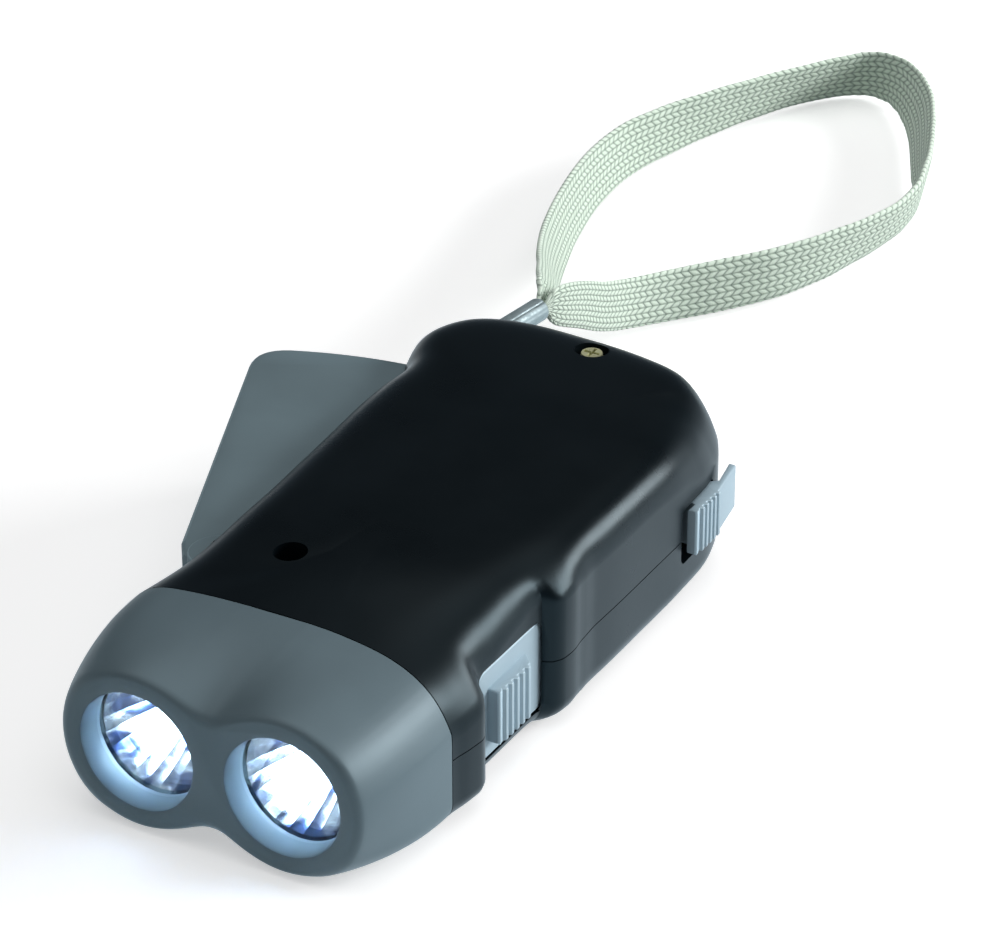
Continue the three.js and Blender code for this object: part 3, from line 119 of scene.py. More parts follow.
def solid(name, rings):
    """A closed piece through rings, in whichever order they run."""
    obj = piece(name, *stack(rings))
    face_out(obj)
    return obj


def sharpen(obj, degrees):
    """Smooth faces that meet in a sharp edge where they turn by more than an angle."""
    work = bmesh.new()
    work.from_mesh(obj.data)
    limit = math.radians(degrees)
    for face in work.faces:
        face.smooth = True
    for edge in work.edges:
        if len(edge.link_faces) == 2:
            edge.smooth = edge.calc_face_angle(0) < limit
    work.to_mesh(obj.data)
    work.free()


def boolean(obj, other, how):
    """Changes obj by another piece, which it uses up."""
    modifier = obj.modifiers.new("boolean", "BOOLEAN")
    modifier.operation = how
    modifier.object = other
    modifier.solver = "MANIFOLD"
    graph = bpy.context.evaluated_depsgraph_get()
    mesh = bpy.data.meshes.new_from_object(obj.evaluated_get(graph))
    obj.modifiers.clear()
    old = obj.data
    obj.data = mesh
    bpy.data.meshes.remove(old)
    bpy.data.objects.remove(other, do_unlink=True)


def copy_of(obj, name):
    twin = bpy.data.objects.new(name, obj.data.copy())
    bpy.context.collection.objects.link(twin)
    return twin


def circle(radius, facets):
    """Points of a circle as pairs."""
    return [
        (radius * math.cos(2 * math.pi * k / facets), radius * math.sin(2 * math.pi * k / facets))
        for k in range(facets)
    ]


def upright(ring, low, high, smooth=True):
    """A cutter that stands on a ring of x and y."""
    rings = [[(x, y, z) for x, y in ring] for z in (low, high)]
    return piece("cutter", *stack(rings), smooth=smooth)


def box(low, high):
    (x0, y0, z0), (x1, y1, z1) = low, high
    return upright([(x0, y0), (x1, y0), (x1, y1), (x0, y1)], z0, z1, smooth=False)


def bar(centre, radius, low, high, facets=96):
    return upright([(centre[0] + u, centre[1] + v) for u, v in circle(radius, facets)], low, high)


# ---------------------------------------------------------------- body form, as in the solids
BODY_LENGTH = 106
HALF_WIDTH = 24.8
BODY_HEIGHT = 24.6
WALL = 2
BOTTOM_ROUND = 4
CROWN = 0.5
PARTING = 10.3
SEAM = 18.5
FIT = 0.3
NOSE_DROP = 1
OUTLINE = [
    (0.83, 0.05), (0.843, 0.16), (0.843, 0.232), (0.842, 0.256), (0.841, 0.3), (0.841, 0.37),
    (0.845, 0.403), (0.856, 0.414), (0.864, 0.422), (0.878, 0.436), (0.902, 0.458), (0.925, 0.49),
    (0.935, 0.55), (0.935, 0.66), (0.93, 0.76), (0.9, 0.855), (0.81, 0.921), (0.56, 0.969),
    (0.2, 0.989), (-0.16, 0.997), (-0.45, 1.0), (-0.72, 0.991), (-0.905, 0.968), (-1.02, 0.93),
    (-1.06, 0.888),
    (-1.015, 0.845), (-0.948, 0.803), (-0.972, 0.752), (-0.982, 0.675), (-0.945, 0.54), (-0.9, 0.4),
    (-0.883, 0.325), (-0.9, 0.258), (-0.945, 0.2), (-0.978, 0.15), (-0.978, 0.05), (-0.65, -0.08),
    (-0.05, -0.12), (0.55, -0.08),
]
# Along the body: how far the right side stands out, the rounding of the top on either side, the
# fall of its edge to the nose, and how far the skin is drawn in on either side
PROUD = [
    (18.55, 2.1), (22.05, 2.7), (24.6, 3), (26, 2.5), (27.1, 1.2), (28.4, 0.3), (42.7, 0.3),
    (43.9, 0.2), (44.7, 1.2), (46.2, 1.75), (48.5, 1.35), (51.2, 0.5), (55.4, 0),
]
ROUND_RIGHT = [
    (18.55, 10.4), (42, 5.6), (72, 5.6), (82.2, 6.7), (90.1, 9), (97, 8.6), (101.5, 6),
    (103.9, 5.4),
]
ROUND_LEFT = [(18.55, 7), (42, 6.4), (75.3, 6.4), (88, 5.6)]
FALL = [(18.55, 1), (42, 0)]
TRIM_RIGHT = [
    (86, 0), (92, -0.3), (97, -1), (101, -1.5), (103.5, -1.2), (104.9, -0.4), (105.4, 0),
]
TRIM_LEFT = [(36, 0), (46, -0.6), (66, -0.7), (78, 0)]
# How far to either side the roundings, the side that stands out and the upper rings are evened
EVEN_ROUNDS, EVEN_PROUD, EVEN_RINGS = 5, 4.5, 2.4
FLOW = 1.5  # how soon up the rounding the evened side takes over
# The crown's rings shrink to a share of the rim and turn into ovals of these half sizes
CROWN_SHARE, CROWN_PACE, CROWN_BLEND = 0.2, 1.25, 0.5
CROWN_OVAL = (15.5, 44)
SPAN = 40  # points of a curve from one of its places to the next


def hermite(t, a, b, leave_a, reach_b):
    """Between a and b, with the slopes there."""
    return (
        a * (2 * t**3 - 3 * t**2 + 1) + b * (3 * t**2 - 2 * t**3)
        + leave_a * (t**3 - 2 * t**2 + t) + reach_b * (t**3 - t**2)
    )


def spline(points, closed):
    """A centripetal curve through points."""
    points = [Vector(p) for p in points]
    count = len(points)
    made = []
    for i in range(count if closed else count - 1):
        p1, p2 = points[i], points[(i + 1) % count]
        p0 = points[i - 1] if closed or i else p1 * 2 - p2
        p3 = points[(i + 2) % count] if closed or i + 2 < count else p2 * 2 - p1
        d0, d1, d2 = (max((b - a).length, 1e-6) ** 0.5 for a, b in ((p0, p1), (p1, p2), (p2, p3)))
        t1 = ((p1 - p0) / d0 - (p2 - p0) / (d0 + d1) + (p2 - p1) / d1) * d1
        t2 = ((p2 - p1) / d1 - (p3 - p1) / (d1 + d2) + (p3 - p2) / d2) * d1
        made += [hermite(k / SPAN, p1, p2, t1, t2) for k in range(SPAN)]
    if not closed:
        made.append(points[-1])
    return made


def plan_of_body(step):
    """Points of the outline about a step apart, each with its direction outward."""
    corners = [(x * HALF_WIDTH, y * BODY_LENGTH, 0) for x, y in OUTLINE]
    fine = spline(corners, True)
    places = []
    for i in range(len(corners)):
        span = (Vector(corners[(i + 1) % len(corners)]) - Vector(corners[i])).length
        count = max(1, round(span / step))
        places += [round((i + k / count) * SPAN) for k in range(count)]
    plan = []
    for i in places:
        p = fine[i]
        way = (fine[(i + 1) % len(fine)] - fine[i - 1]).normalized()
        plan.append((p.x, p.y, way.y, -way.x))
    return plan


def through(table, at_place):
    """A smooth value through a table of places and values, with no overshoot."""
    if at_place <= table[0][0]:
        return table[0][1]
    if at_place >= table[-1][0]:
        return table[-1][1]
    k = max(i for i, (place, _) in enumerate(table) if place <= at_place)

    def slope(i):
        if i < 0 or i + 1 >= len(table):
            return 0
        return (table[i + 1][1] - table[i][1]) / (table[i + 1][0] - table[i][0])

    def tangent(i):
        before, after = slope(i - 1), slope(i)
        return 0 if before * after <= 0 else 2 * before * after / (before + after)

    (x0, y0), (x1, y1) = table[k], table[k + 1]
    wide = x1 - x0
    return hermite((at_place - x0) / wide, y0, y1, wide * tangent(k), wide * tangent(k + 1))


def ease(t):
    t = min(max(t, 0), 1)
    return t * t * (3 - 2 * t)


def even(values, reach):
    """Means of each value and its neighbours round a ring."""
    count, window = len(values), range(-reach, reach + 1)
    return [sum(values[(i + k) % count] for k in window) / (2 * reach + 1) for i in range(count)]


def crown_rings(rim, high, steps):
    """Rings from the rim in over the top."""
    middle = BODY_LENGTH / 2
    rings = []
    for k in range(1, steps + 1):
        share = 1 - (1 - CROWN_SHARE) * (k / steps) ** CROWN_PACE
        rise = (1 - share**2) / (1 - CROWN_SHARE**2)
        blend = ease((1 - share) / CROWN_BLEND)
        ring = []
        for x, y, z in rim:
            angle = math.atan2(y - middle, x)
            across, along = x * share, (y - middle) * share
            oval_across = CROWN_OVAL[0] * math.cos(angle) * share
            oval_along = CROWN_OVAL[1] * math.sin(angle) * share
            ring.append((
                across + (oval_across - across) * blend,
                middle + along + (oval_along - along) * blend,
                z + (high - z) * rise,
            ))
        rings.append(ring)
    return rings


def soften(rings, rim, reach):
    """Evens the way up each side where the rounding meets the crown."""
    for _ in range(reach):
        before = [list(ring) for ring in rings]
        for k in range(rim - reach, min(rim + reach, len(rings) - 1)):
            for i, p in enumerate(before[k]):
                a, b = before[k - 1][i], before[k + 1][i]
                rings[k][i] = tuple(0.5 * p[n] + 0.25 * (a[n] + b[n]) for n in range(3))
    return rings


def pillow_rings(inset, step, turns, crown_steps):
    """Rings of the body from its underside up over the sides and the crown, inside its skin."""
    plan = plan_of_body(step)
    low, high = inset, BODY_HEIGHT - inset
    proud = [
        through(TRIM_LEFT, y) if x < 0 else through(PROUD, y) + through(TRIM_RIGHT, y)
        for x, y, _, _ in plan
    ]
    flowing = even(proud, round(EVEN_PROUD / step))
    top = [through(ROUND_LEFT if x < 0 else ROUND_RIGHT, y) for x, y, _, _ in plan]
    top = even(top, round(EVEN_ROUNDS / step))
    edge = [high - CROWN - NOSE_DROP * through(FALL, y) for _, y, _, _ in plan]
    rings = []

    def add_ring(rounds, inward, height, flow=0):
        made = []
        for i, ((x, y, nx, ny), out, full) in enumerate(zip(plan, proud, rounds)):
            out += (flowing[i] - out) * flow
            outer, left = out - inset, full - inset
            offset = outer + (-inset - left - outer) * inward
            made.append((x + nx * offset, y + ny * offset, height(i, left)))
        rings.append(made)

    for k in range(turns + 1):
        angle = math.radians(90 - 90 * k / turns)
        sine, cosine = math.sin(angle), math.cos(angle)
        add_ring([BOTTOM_ROUND] * len(plan), 1 - cosine, lambda i, r: low + r * (1 - sine))
    for k in range(turns + 1):
        angle = math.radians(90 * k / turns)
        sine, cosine = math.sin(angle), math.cos(angle)
        add_ring(top, 1 - cosine, lambda i, r: edge[i] - r * (1 - sine), ease(FLOW * sine))
    reach = round(EVEN_RINGS / step)
    for k in range(turns + 1 + turns // 2, len(rings)):
        rings[k] = list(zip(*(even(way, reach) for way in zip(*rings[k]))))
    rings += crown_rings(rings[-1], high, crown_steps)
    return soften(rings, 2 * turns + 1, turns - 2)


def section(rings, place):
    """Where a plane across Y cuts the rings, as a closed ring of x and z."""
    right, left = [], []
    for layer in rings:
        crossings = []
        for i, (ax, ay, az) in enumerate(layer):
            bx, by, _ = layer[(i + 1) % len(layer)]
            if (ay <= place) != (by <= place):
                crossings.append((ax + (bx - ax) * (place - ay) / (by - ay), az))
        if crossings:
            crossings.sort()
            left.insert(0, crossings[0])
            right.append(crossings[-1])
    return right + left


outer_rings = pillow_rings(inset=0, step=0.8, turns=12, crown_steps=14)


# ---------------------------------------------------------------- casings
PIVOT = (-19, 33)
LEVER_REACH = 58
LEVER_LOW, LEVER_HIGH = 4.4, 19.5
SLOT_AHEAD, SLOT_BEHIND = 2.5, 0.6  # room before the pivot and past the grip's reach
# Rooms round the pivot for the lever's hub and its disc
HUB_ROOM = 4
DISC_ROOM, DISC_TOP, DISC_SINK = 4.5, 20.7, 0.5
BOSS, BOSS_SKIN = 3.4, 1.2
# Each screw's place, the bore over it and the seat of its head
SCREWS = [((-7.7, 31.8), 2.2, 12), ((-0.85, 98.7), 2.4, 22.1)]
POCKET = dict(floor=20, front=28, rear=44, low=3.1, high=16.4, corner=1.8)
POCKET_FACE = 21.3
# Where the lamp slide's plate and its arm run behind the pocket's face
PLATE_WAY = (41.9, 49.2)
ARM_WAY = dict(floor=17, front=31.6, rear=39.2, high=13)
LOCK_SLOT = dict(floor=19, front=79.2, rear=90, low=6.5, high=14.8, corner=1.2)
CORNER_STEPS = 8
HEAD_GAP, PARTING_GAP = 0.16, 0.15
# Clear of the body: to the side, ahead, behind, below and above
ASIDE, AHEAD, BEHIND, BELOW, ABOVE = 60, -40, 120, -6, 40


def side_cutter(slot):
    """A cutter from a slot's floor out to the right side, with round corners."""
    radius = slot["corner"]
    ring = []
    for y, z, start in (
        (slot["rear"] - radius, slot["high"] - radius, 0),
        (slot["front"] + radius, slot["high"] - radius, 90),
        (slot["front"] + radius, slot["low"] + radius, 180),
        (slot["rear"] - radius, slot["low"] + radius, 270),
    ):
        for k in range(CORNER_STEPS + 1):
            angle = math.radians(start + 90 * k / CORNER_STEPS)
            ring.append((y + radius * math.cos(angle), z + radius * math.sin(angle)))
    return solid("cutter", [[(x, y, z) for y, z in ring] for x in (slot["floor"], ASIDE)])


def make_casings():
    shell = solid("shell", outer_rings)
    hollow = solid("hollow", pillow_rings(inset=WALL, step=3, turns=5, crown_steps=3))
    boolean(shell, hollow, "DIFFERENCE")
    boolean(shell, box((-ASIDE, AHEAD, BELOW), (ASIDE, SEAM + HEAD_GAP, ABOVE)), "DIFFERENCE")
    for centre, radius, seat in SCREWS:
        boolean(shell, bar(centre, BOSS, PARTING, BODY_HEIGHT - BOSS_SKIN), "UNION")
        boolean(shell, bar(centre, radius, seat, ABOVE), "DIFFERENCE")
    low, high = LEVER_LOW - FIT, LEVER_HIGH + FIT
    rear = PIVOT[1] + LEVER_REACH + SLOT_BEHIND
    cutters = [
        box((-ASIDE, PIVOT[1] - SLOT_AHEAD, low), (PIVOT[0] + FIT, rear, high)),
        bar(PIVOT, HUB_ROOM, low, high),
        bar(PIVOT, DISC_ROOM, high - DISC_SINK, DISC_TOP, 160),
        side_cutter(POCKET),
        box(
            (POCKET["floor"], PLATE_WAY[0], POCKET["low"]),
            (POCKET_FACE, PLATE_WAY[1], POCKET["high"]),
        ),
        box(
            (ARM_WAY["floor"], ARM_WAY["front"], PARTING),
            (POCKET_FACE, ARM_WAY["rear"], ARM_WAY["high"]),
        ),
        side_cutter(LOCK_SLOT),
    ]
    for cutter in cutters:
        boolean(shell, cutter, "DIFFERENCE")
    upper = copy_of(shell, "upper_shell")
    over = box((-ASIDE, 0, PARTING + PARTING_GAP / 2), (ASIDE, BEHIND, ABOVE))
    boolean(upper, over, "INTERSECT")
    lower = copy_of(shell, "lower_shell")
    under = box((-ASIDE, 0, BELOW), (ASIDE, BEHIND, PARTING - PARTING_GAP / 2))
    boolean(lower, under, "INTERSECT")
    bpy.data.objects.remove(shell, do_unlink=True)
    for obj, node in ((upper, "upper_casing"), (lower, "lower_casing")):
        sharpen(obj, 32)
        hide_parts(node)
        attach(obj, "casing")
    return upper, lower


# ---------------------------------------------------------------- head
LAMP_HEIGHT = 11.5
HALF_PITCH = 10.3
BARREL = 10.7
APERTURE = 7.95
WAIST = 7.5
BLEND = 4.4
FLARE = 0.75
CUP_DEPTH = 4.6
HEAD_WALL = 1.8
HOLLOW_REAR = SEAM + 6
FACE_ROUND = 1.0
# Steps over the face's rounding, along the head and along its hollow, and round it
FACE_TURNS, HEAD_PLACES, HOLLOW_PLACES = 6, 30, 8
HEAD_STEPS = 288
HEAD_ANGLES = [2 * math.pi * k / HEAD_STEPS for k in range(HEAD_STEPS)]
# The bore's edge, as radius over the aperture and depth
BORE = [(0.5, -1), (0.5, 0), (0.15, 0.15), (0, 0.5), (0, 6)]
# The lip that enters the casings, as place and inset
LIP_REAR = 21.5
LIP = [(15, 1), (SEAM, 1), (SEAM, WALL + FIT), (LIP_REAR, WALL + FIT + 0.2)]
LIP_HOLLOW = [(14, 3.5), (LIP_REAR + 1, 3.5)]


def reach_of(ring, angle):
    """How far a ring of x and z lies from the middle at an angle."""
    dx, dz = math.cos(angle), math.sin(angle)
    reach = 0
    for i, (ax, az) in enumerate(ring):
        bx, bz = ring[(i + 1) % len(ring)]
        ex, ez = bx - ax, bz - az
        across = dx * ez - dz * ex
        if abs(across) < 1e-9:
            continue
        along = (ax * ez - az * ex) / across
        share = (ax * dz - az * dx) / across
        if along > 0 and 0 <= share <= 1:
            reach = max(reach, along)
    return reach


def face_reach(angle):
    """How far the face's two barrels and the bridge between them lie from the middle."""
    cosine, sine = abs(math.cos(angle)), abs(math.sin(angle))
    barrel = HALF_PITCH * cosine + math.sqrt(BARREL**2 - (HALF_PITCH * sine) ** 2)
    if WAIST * cosine > HALF_PITCH * sine:
        return barrel
    bridge = WAIST / sine
    near = max(1 - abs(barrel - bridge) / BLEND, 0)
    return max(barrel, bridge) + near**2 * BLEND / 4


def around_head(reaches, place):
    """A ring about the head's middle, from how far it reaches at each angle."""
    return [
        (reach * math.cos(angle), place, LAMP_HEIGHT + reach * math.sin(angle))
        for reach, angle in zip(reaches, HEAD_ANGLES)
    ]


def make_bezel():
    ring = [(x, z - LAMP_HEIGHT) for x, z in section(outer_rings, SEAM)]
    seam = [reach_of(ring, angle) for angle in HEAD_ANGLES]
    face = [face_reach(angle) for angle in HEAD_ANGLES]

    def skin(place, inset):
        share = math.sin(math.pi / 2 * min(place / SEAM, 1)) ** FLARE
        return around_head([f + (s - f) * share - inset for f, s in zip(face, seam)], place)

    def lip_rings(places):
        return [around_head([reach - inset for reach in seam], place) for place, inset in places]

    rings = []
    for k in range(FACE_TURNS + 1):
        turn = math.radians(90 * k / FACE_TURNS)
        rings.append(skin(FACE_ROUND * (1 - math.cos(turn)), FACE_ROUND * (1 - math.sin(turn))))
    for k in range(1, HEAD_PLACES + 1):
        rings.append(skin(FACE_ROUND + (SEAM - FACE_ROUND) * k / HEAD_PLACES, 0))
    bezel = solid("bezel", rings)
    inner = [
        skin(CUP_DEPTH + (SEAM - CUP_DEPTH) * k / HOLLOW_PLACES, HEAD_WALL)
        for k in range(HOLLOW_PLACES + 1)
    ]
    inner.append([(x, HOLLOW_REAR, z) for x, _, z in inner[-1]])
    boolean(bezel, solid("hollow", inner), "DIFFERENCE")
    for x in (-HALF_PITCH, HALF_PITCH):
        bore = [
            [(x + u, depth, LAMP_HEIGHT + v) for u, v in circle(APERTURE + wider, 96)]
            for wider, depth in BORE
        ]
        boolean(bezel, solid("bore", bore), "DIFFERENCE")
    lip = solid("lip", lip_rings(LIP))
    boolean(lip, solid("hollow", lip_rings(LIP_HOLLOW)), "DIFFERENCE")
    boolean(bezel, lip, "UNION")
    sharpen(bezel, 40)
    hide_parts("head_bezel")
    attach(bezel, "casing")
    return bezel


# ---------------------------------------------------------------- grip and slides
SAME_POINT = 0.002  # points nearer than this are one
# Faces that turn by less than the first angle are one, and edges from the second on are rounded
FLAT, CREASE = math.radians(0.5), math.radians(30)


def eased(node, name, passes):
    """A copy of a solid with chosen edges rounded; each pass is (width, steps, test of an edge)."""
    source = frame["nodes"][node]
    obj = copy_of(source, name)
    obj.matrix_world = source.matrix_world.copy()
    into = source.matrix_world
    for width, steps, wanted in passes:
        work = bmesh.new()
        work.from_mesh(obj.data)
        painted_edge_highlight = work.faces.layers.float.get("painted_edge_highlight") or work.faces.layers.float.new("painted_edge_highlight")
        bmesh.ops.remove_doubles(work, verts=work.verts, dist=SAME_POINT * MM)
        bmesh.ops.dissolve_limit(work, angle_limit=FLAT, verts=work.verts, edges=work.edges)
        chosen = []
        for edge in work.edges:
            if len(edge.link_faces) != 2 or edge.calc_face_angle(0) < CREASE:
                continue
            ends = [into @ v.co for v in edge.verts]
            if all(wanted(v.x / MM, v.y / MM + BASE, v.z / MM) for v in ends):
                chosen.append(edge)
        made = bmesh.ops.bevel(
            work, geom=chosen, offset=width * MM, offset_type="OFFSET", segments=steps,
            profile=0.5, affect="EDGES", clamp_overlap=True,
        )
        # Painted highlight: the rounded faces are marked so that the plastic paints them paler.
        for face in made["faces"]:
            face[painted_edge_highlight] = 1
        bmesh.ops.triangulate(work, faces=[f for f in work.faces if len(f.verts) > 4])
        work.to_mesh(obj.data)
        work.free()
    sharpen(obj, 28)
    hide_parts(node)
    return obj


def beside_disc(x, y):
    return math.hypot(x - PIVOT[0], y - PIVOT[1]) > DISC_ROOM + 0.5


def plate_edge(x, y, z):
    return 20.9 < x < 21.1 and (y < 30.2 or y > 44 or z < 3.5 or z > 16)


def make_grips():
    # The top plate's upper edges, then the disc's
    lever = eased("trigger_lever", "grip", [
        (0.35, 3, lambda x, y, z: z > 19.3 and beside_disc(x, y)),
        (0.2, 2, lambda x, y, z: z > 20.3),
    ])
    # The front end of the pad, its ribs, then the edges of the plate
    switch = eased("switch_slide", "switch_button", [
        (0.6, 4, lambda x, y, z: x > 22.9 and y < 30.9),
        (0.1, 2, lambda x, y, z: x > 22.2),
        (0.2, 3, plate_edge),
    ])
    # The front end of the pad, then its ribs
    lock = eased("lock_slide", "lock_button", [
        (0.5, 4, lambda x, y, z: x > 24.6 and y < 81.1),
        (0.1, 2, lambda x, y, z: x > 24),
    ])
    for obj, body, slot in (
        (lever, "lever", "lever"), (switch, "switch", "slide"), (lock, "lock", "slide"),
    ):
        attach(obj, body)
    return lever, switch, lock


# ---------------------------------------------------------------- ferrule
FERRULE = (-18.3, 103.5, 19.8)
FERRULE_LEAN = math.radians(7.4)
FERRULE_FACETS = 144
# Radius and place along it, from the flange inside the casings over the mouth into the bore
FERRULE_TUBE = [
    (2.2, -5.4), (2.2, -4.6), (1.7, -4.6), (1.7, 9.7), (1.66, 9.86), (1.6, 9.97), (1.54, 9.9),
    (1.5, 9.8), (1.5, 8.5),
]
# Where its sheet is rolled in: degrees round, depth and half width in degrees
FERRULE_LINES = [(62, 0.1, 5), (104, 0.05, 7), (20, 0.05, 8)]


def ferrule_dent(turn):
    return sum(
        deep * math.exp(-((turn - middle) / half) ** 2) for middle, deep, half in FERRULE_LINES
    )


def make_ferrule():
    """Rolled metal tube with a flange inside the casings, leaning as the solid does."""
    sine, cosine = math.sin(FERRULE_LEAN), math.cos(FERRULE_LEAN)
    rings = []
    for radius, along in FERRULE_TUBE:
        ring = []
        for k in range(FERRULE_FACETS):
            turn = 360 * k / FERRULE_FACETS
            reach = radius - ferrule_dent(turn)
            across = reach * math.cos(math.radians(turn))
            up = reach * math.sin(math.radians(turn))
            ring.append((
                FERRULE[0] + along * sine + across * cosine,
                FERRULE[1] + along * cosine - across * sine,
                FERRULE[2] + up,
            ))
        rings.append(ring)
    ferrule = solid("ferrule_tube", rings)
    sharpen(ferrule, 30)
    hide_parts("strap_ferrule")
    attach(ferrule, "casing")
    return ferrule


# ---------------------------------------------------------------- wrist strap
# Middle of the braid from the ferrule's middle, and the lean of its upper edge out of the loop
STRAP_WAY = [
    (0.57, 8.8, 0, 0), (0.75, 10.2, 0, 0), (0.3, 11.9, -0.2, 4), (-0.5, 15, -0.8, 24),
    (-3.4, 21.5, -3, 32), (-8.3, 30.5, -6.8, 27), (-14.5, 41.5, -10.6, 20),
    (-20.3, 54.5, -13.4, 20), (-24.7, 67.5, -14.5, 18), (-27.5, 80.5, -14.7, 16),
    (-28, 92.5, -14.7, 12), (-26.3, 101.1, -14.7, 5), (-22.6, 112.4, -14.7, -8),
    (-19.3, 121, -14.8, -15), (-15.1, 130, -14.9, -20), (-10.7, 136.8, -14.9, -18),
    (-7.1, 139.9, -14.8, -12), (-3.3, 140, -14.7, 0), (0.7, 137.8, -14.7, 14),
    (4.3, 134, -14.9, 21), (7.9, 128.7, -15, 24), (11.5, 121.5, -15, 23), (14.7, 114.3, -14.9, 20),
    (17.4, 108.3, -14.8, 14), (19.5, 102.1, -14.7, 11), (20.7, 95.5, -14.8, 16),
    (20.5, 88.5, -14.9, 20), (19.1, 81, -14.8, 17), (16.6, 72.5, -14.7, 9),
    (12.7, 63.9, -14.7, 3), (7.3, 55.9, -14.7, 0), (2.5, 48.7, -14.4, 0), (-0.1, 40.5, -12.8, 0),
    (0.2, 31.5, -9.3, 0), (1.3, 22.5, -4.8, 0), (2, 15.5, -1.6, 0), (2, 12, -0.2, 0),
    (1.9, 10.2, 0, 0), (1.71, 8.8, 0, 0),
]
# The braid's full size, its thickness where the ferrule holds it, the length held at either end and
# the length from there to the full thickness
STRAP = dict(wide=8.8, thick=1.3, end_thick=0.7, held=1.5, taper=8)
# Width of the braid from where it is held
WIDTHS = [(0, 1.8), (2, 4.6), (5, 6.2), (10, 6.8), (25, 7.6), (50, 8.8)]
STITCH = 1.62  # length of one stitch along the braid
ROWS = 4  # rings of points to a stitch
BRAID_POINTS = 28
SQUARED = 0.55  # the braid's section is an oval at 1 and a box at 0
# Shares that the edges' scallops and their thinning take away, and how near the edges these keep
SCALLOP, THINNER_EDGE = 0.012, 0.12
EDGE_POWER = 8


def squared(value):
    return math.copysign(abs(value) ** SQUARED, value)


def braid_section():
    """Shares of the half width and half thickness round the braid."""
    angles = [2 * math.pi * j / BRAID_POINTS for j in range(BRAID_POINTS)]
    return [(squared(math.cos(angle)), squared(math.sin(angle))) for angle in angles]


def lean_at(place):
    """The lean between two places of the strap's way."""
    before = min(int(place), len(STRAP_WAY) - 2)
    a, b = STRAP_WAY[before][3], STRAP_WAY[before + 1][3]
    return math.radians(a + (b - a) * ease(place - before))


def half_sizes(from_end):
    """Half the braid's width and thickness, so far from its nearer end."""
    free = max(from_end - STRAP["held"], 0)
    full = 1 - (1 - min(free / STRAP["taper"], 1)) ** 2
    thick = STRAP["end_thick"] + (STRAP["thick"] - STRAP["end_thick"]) * full
    return through(WIDTHS, free) / 2, thick / 2


def make_strap():
    places = [(FERRULE[0] + x, FERRULE[1] + y, FERRULE[2] + z) for x, y, z, _ in STRAP_WAY]
    fine = spline(places, False)
    run = [0.0]
    for a, b in zip(fine, fine[1:]):
        run.append(run[-1] + (b - a).length)
    total = run[-1]
    count = round(total / (STITCH / ROWS))
    shares = braid_section()
    way, rings, marks = [], [], []
    k = 0
    for i in range(count + 1):
        stop = total * i / count
        while k < len(run) - 2 and run[k + 1] < stop:
            k += 1
        share = (stop - run[k]) / (run[k + 1] - run[k])
        p = fine[k].lerp(fine[k + 1], share)
        way.append(p)
        along = (fine[min(k + 2, len(fine) - 1)] - fine[max(k - 1, 0)]).normalized()
        lean = lean_at((k + share) / SPAN)
        flat = along.cross(Vector((0, 0, 1))).normalized()
        lift = flat.cross(along).normalized()
        side = flat * math.cos(lean) + lift * math.sin(lean)
        rise = lift * math.cos(lean) - flat * math.sin(lean)
        wide, thick = half_sizes(min(stop, total - stop))
        scallop = SCALLOP * (1 + math.cos(2 * math.pi * stop / STITCH))
        ring = []
        for u, v in shares:
            near_edge = abs(u) ** EDGE_POWER
            out = side * v * thick * (1 - THINNER_EDGE * near_edge)
            ring.append(tuple(p + out + rise * u * wide * (1 - scallop * near_edge)))
            marks.append((stop, u * STRAP["wide"] / 2))
        rings.append(ring)
    strap = piece("strap_braid", *stack(rings))
    layer = strap.data.uv_layers.new(name="braid")
    for loop in strap.data.loops:
        layer.data[loop.index].uv = marks[loop.vertex_index]
    face_out(strap)
    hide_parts("wrist_strap")
    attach(strap, "casing")
    return strap


ferrule = make_ferrule()
strap = make_strap()
upper, lower = make_casings()
bezel = make_bezel()
lever, switch, lock = make_grips()


# ---------------------------------------------------------------- materials
WHITE = (1, 1, 1, 1)


def tone(r, g, b):
    """A screen colour of 0 to 255 in linear light."""
    def one(c):
        c /= 255
        return c / 12.92 if c <= 0.04045 else ((c + 0.055) / 1.055) ** 2.4
    return (one(r), one(g), one(b), 1)


def scaled(colour, by):
    return (*(min(value * by, 0.9) for value in colour[:3]), 1)


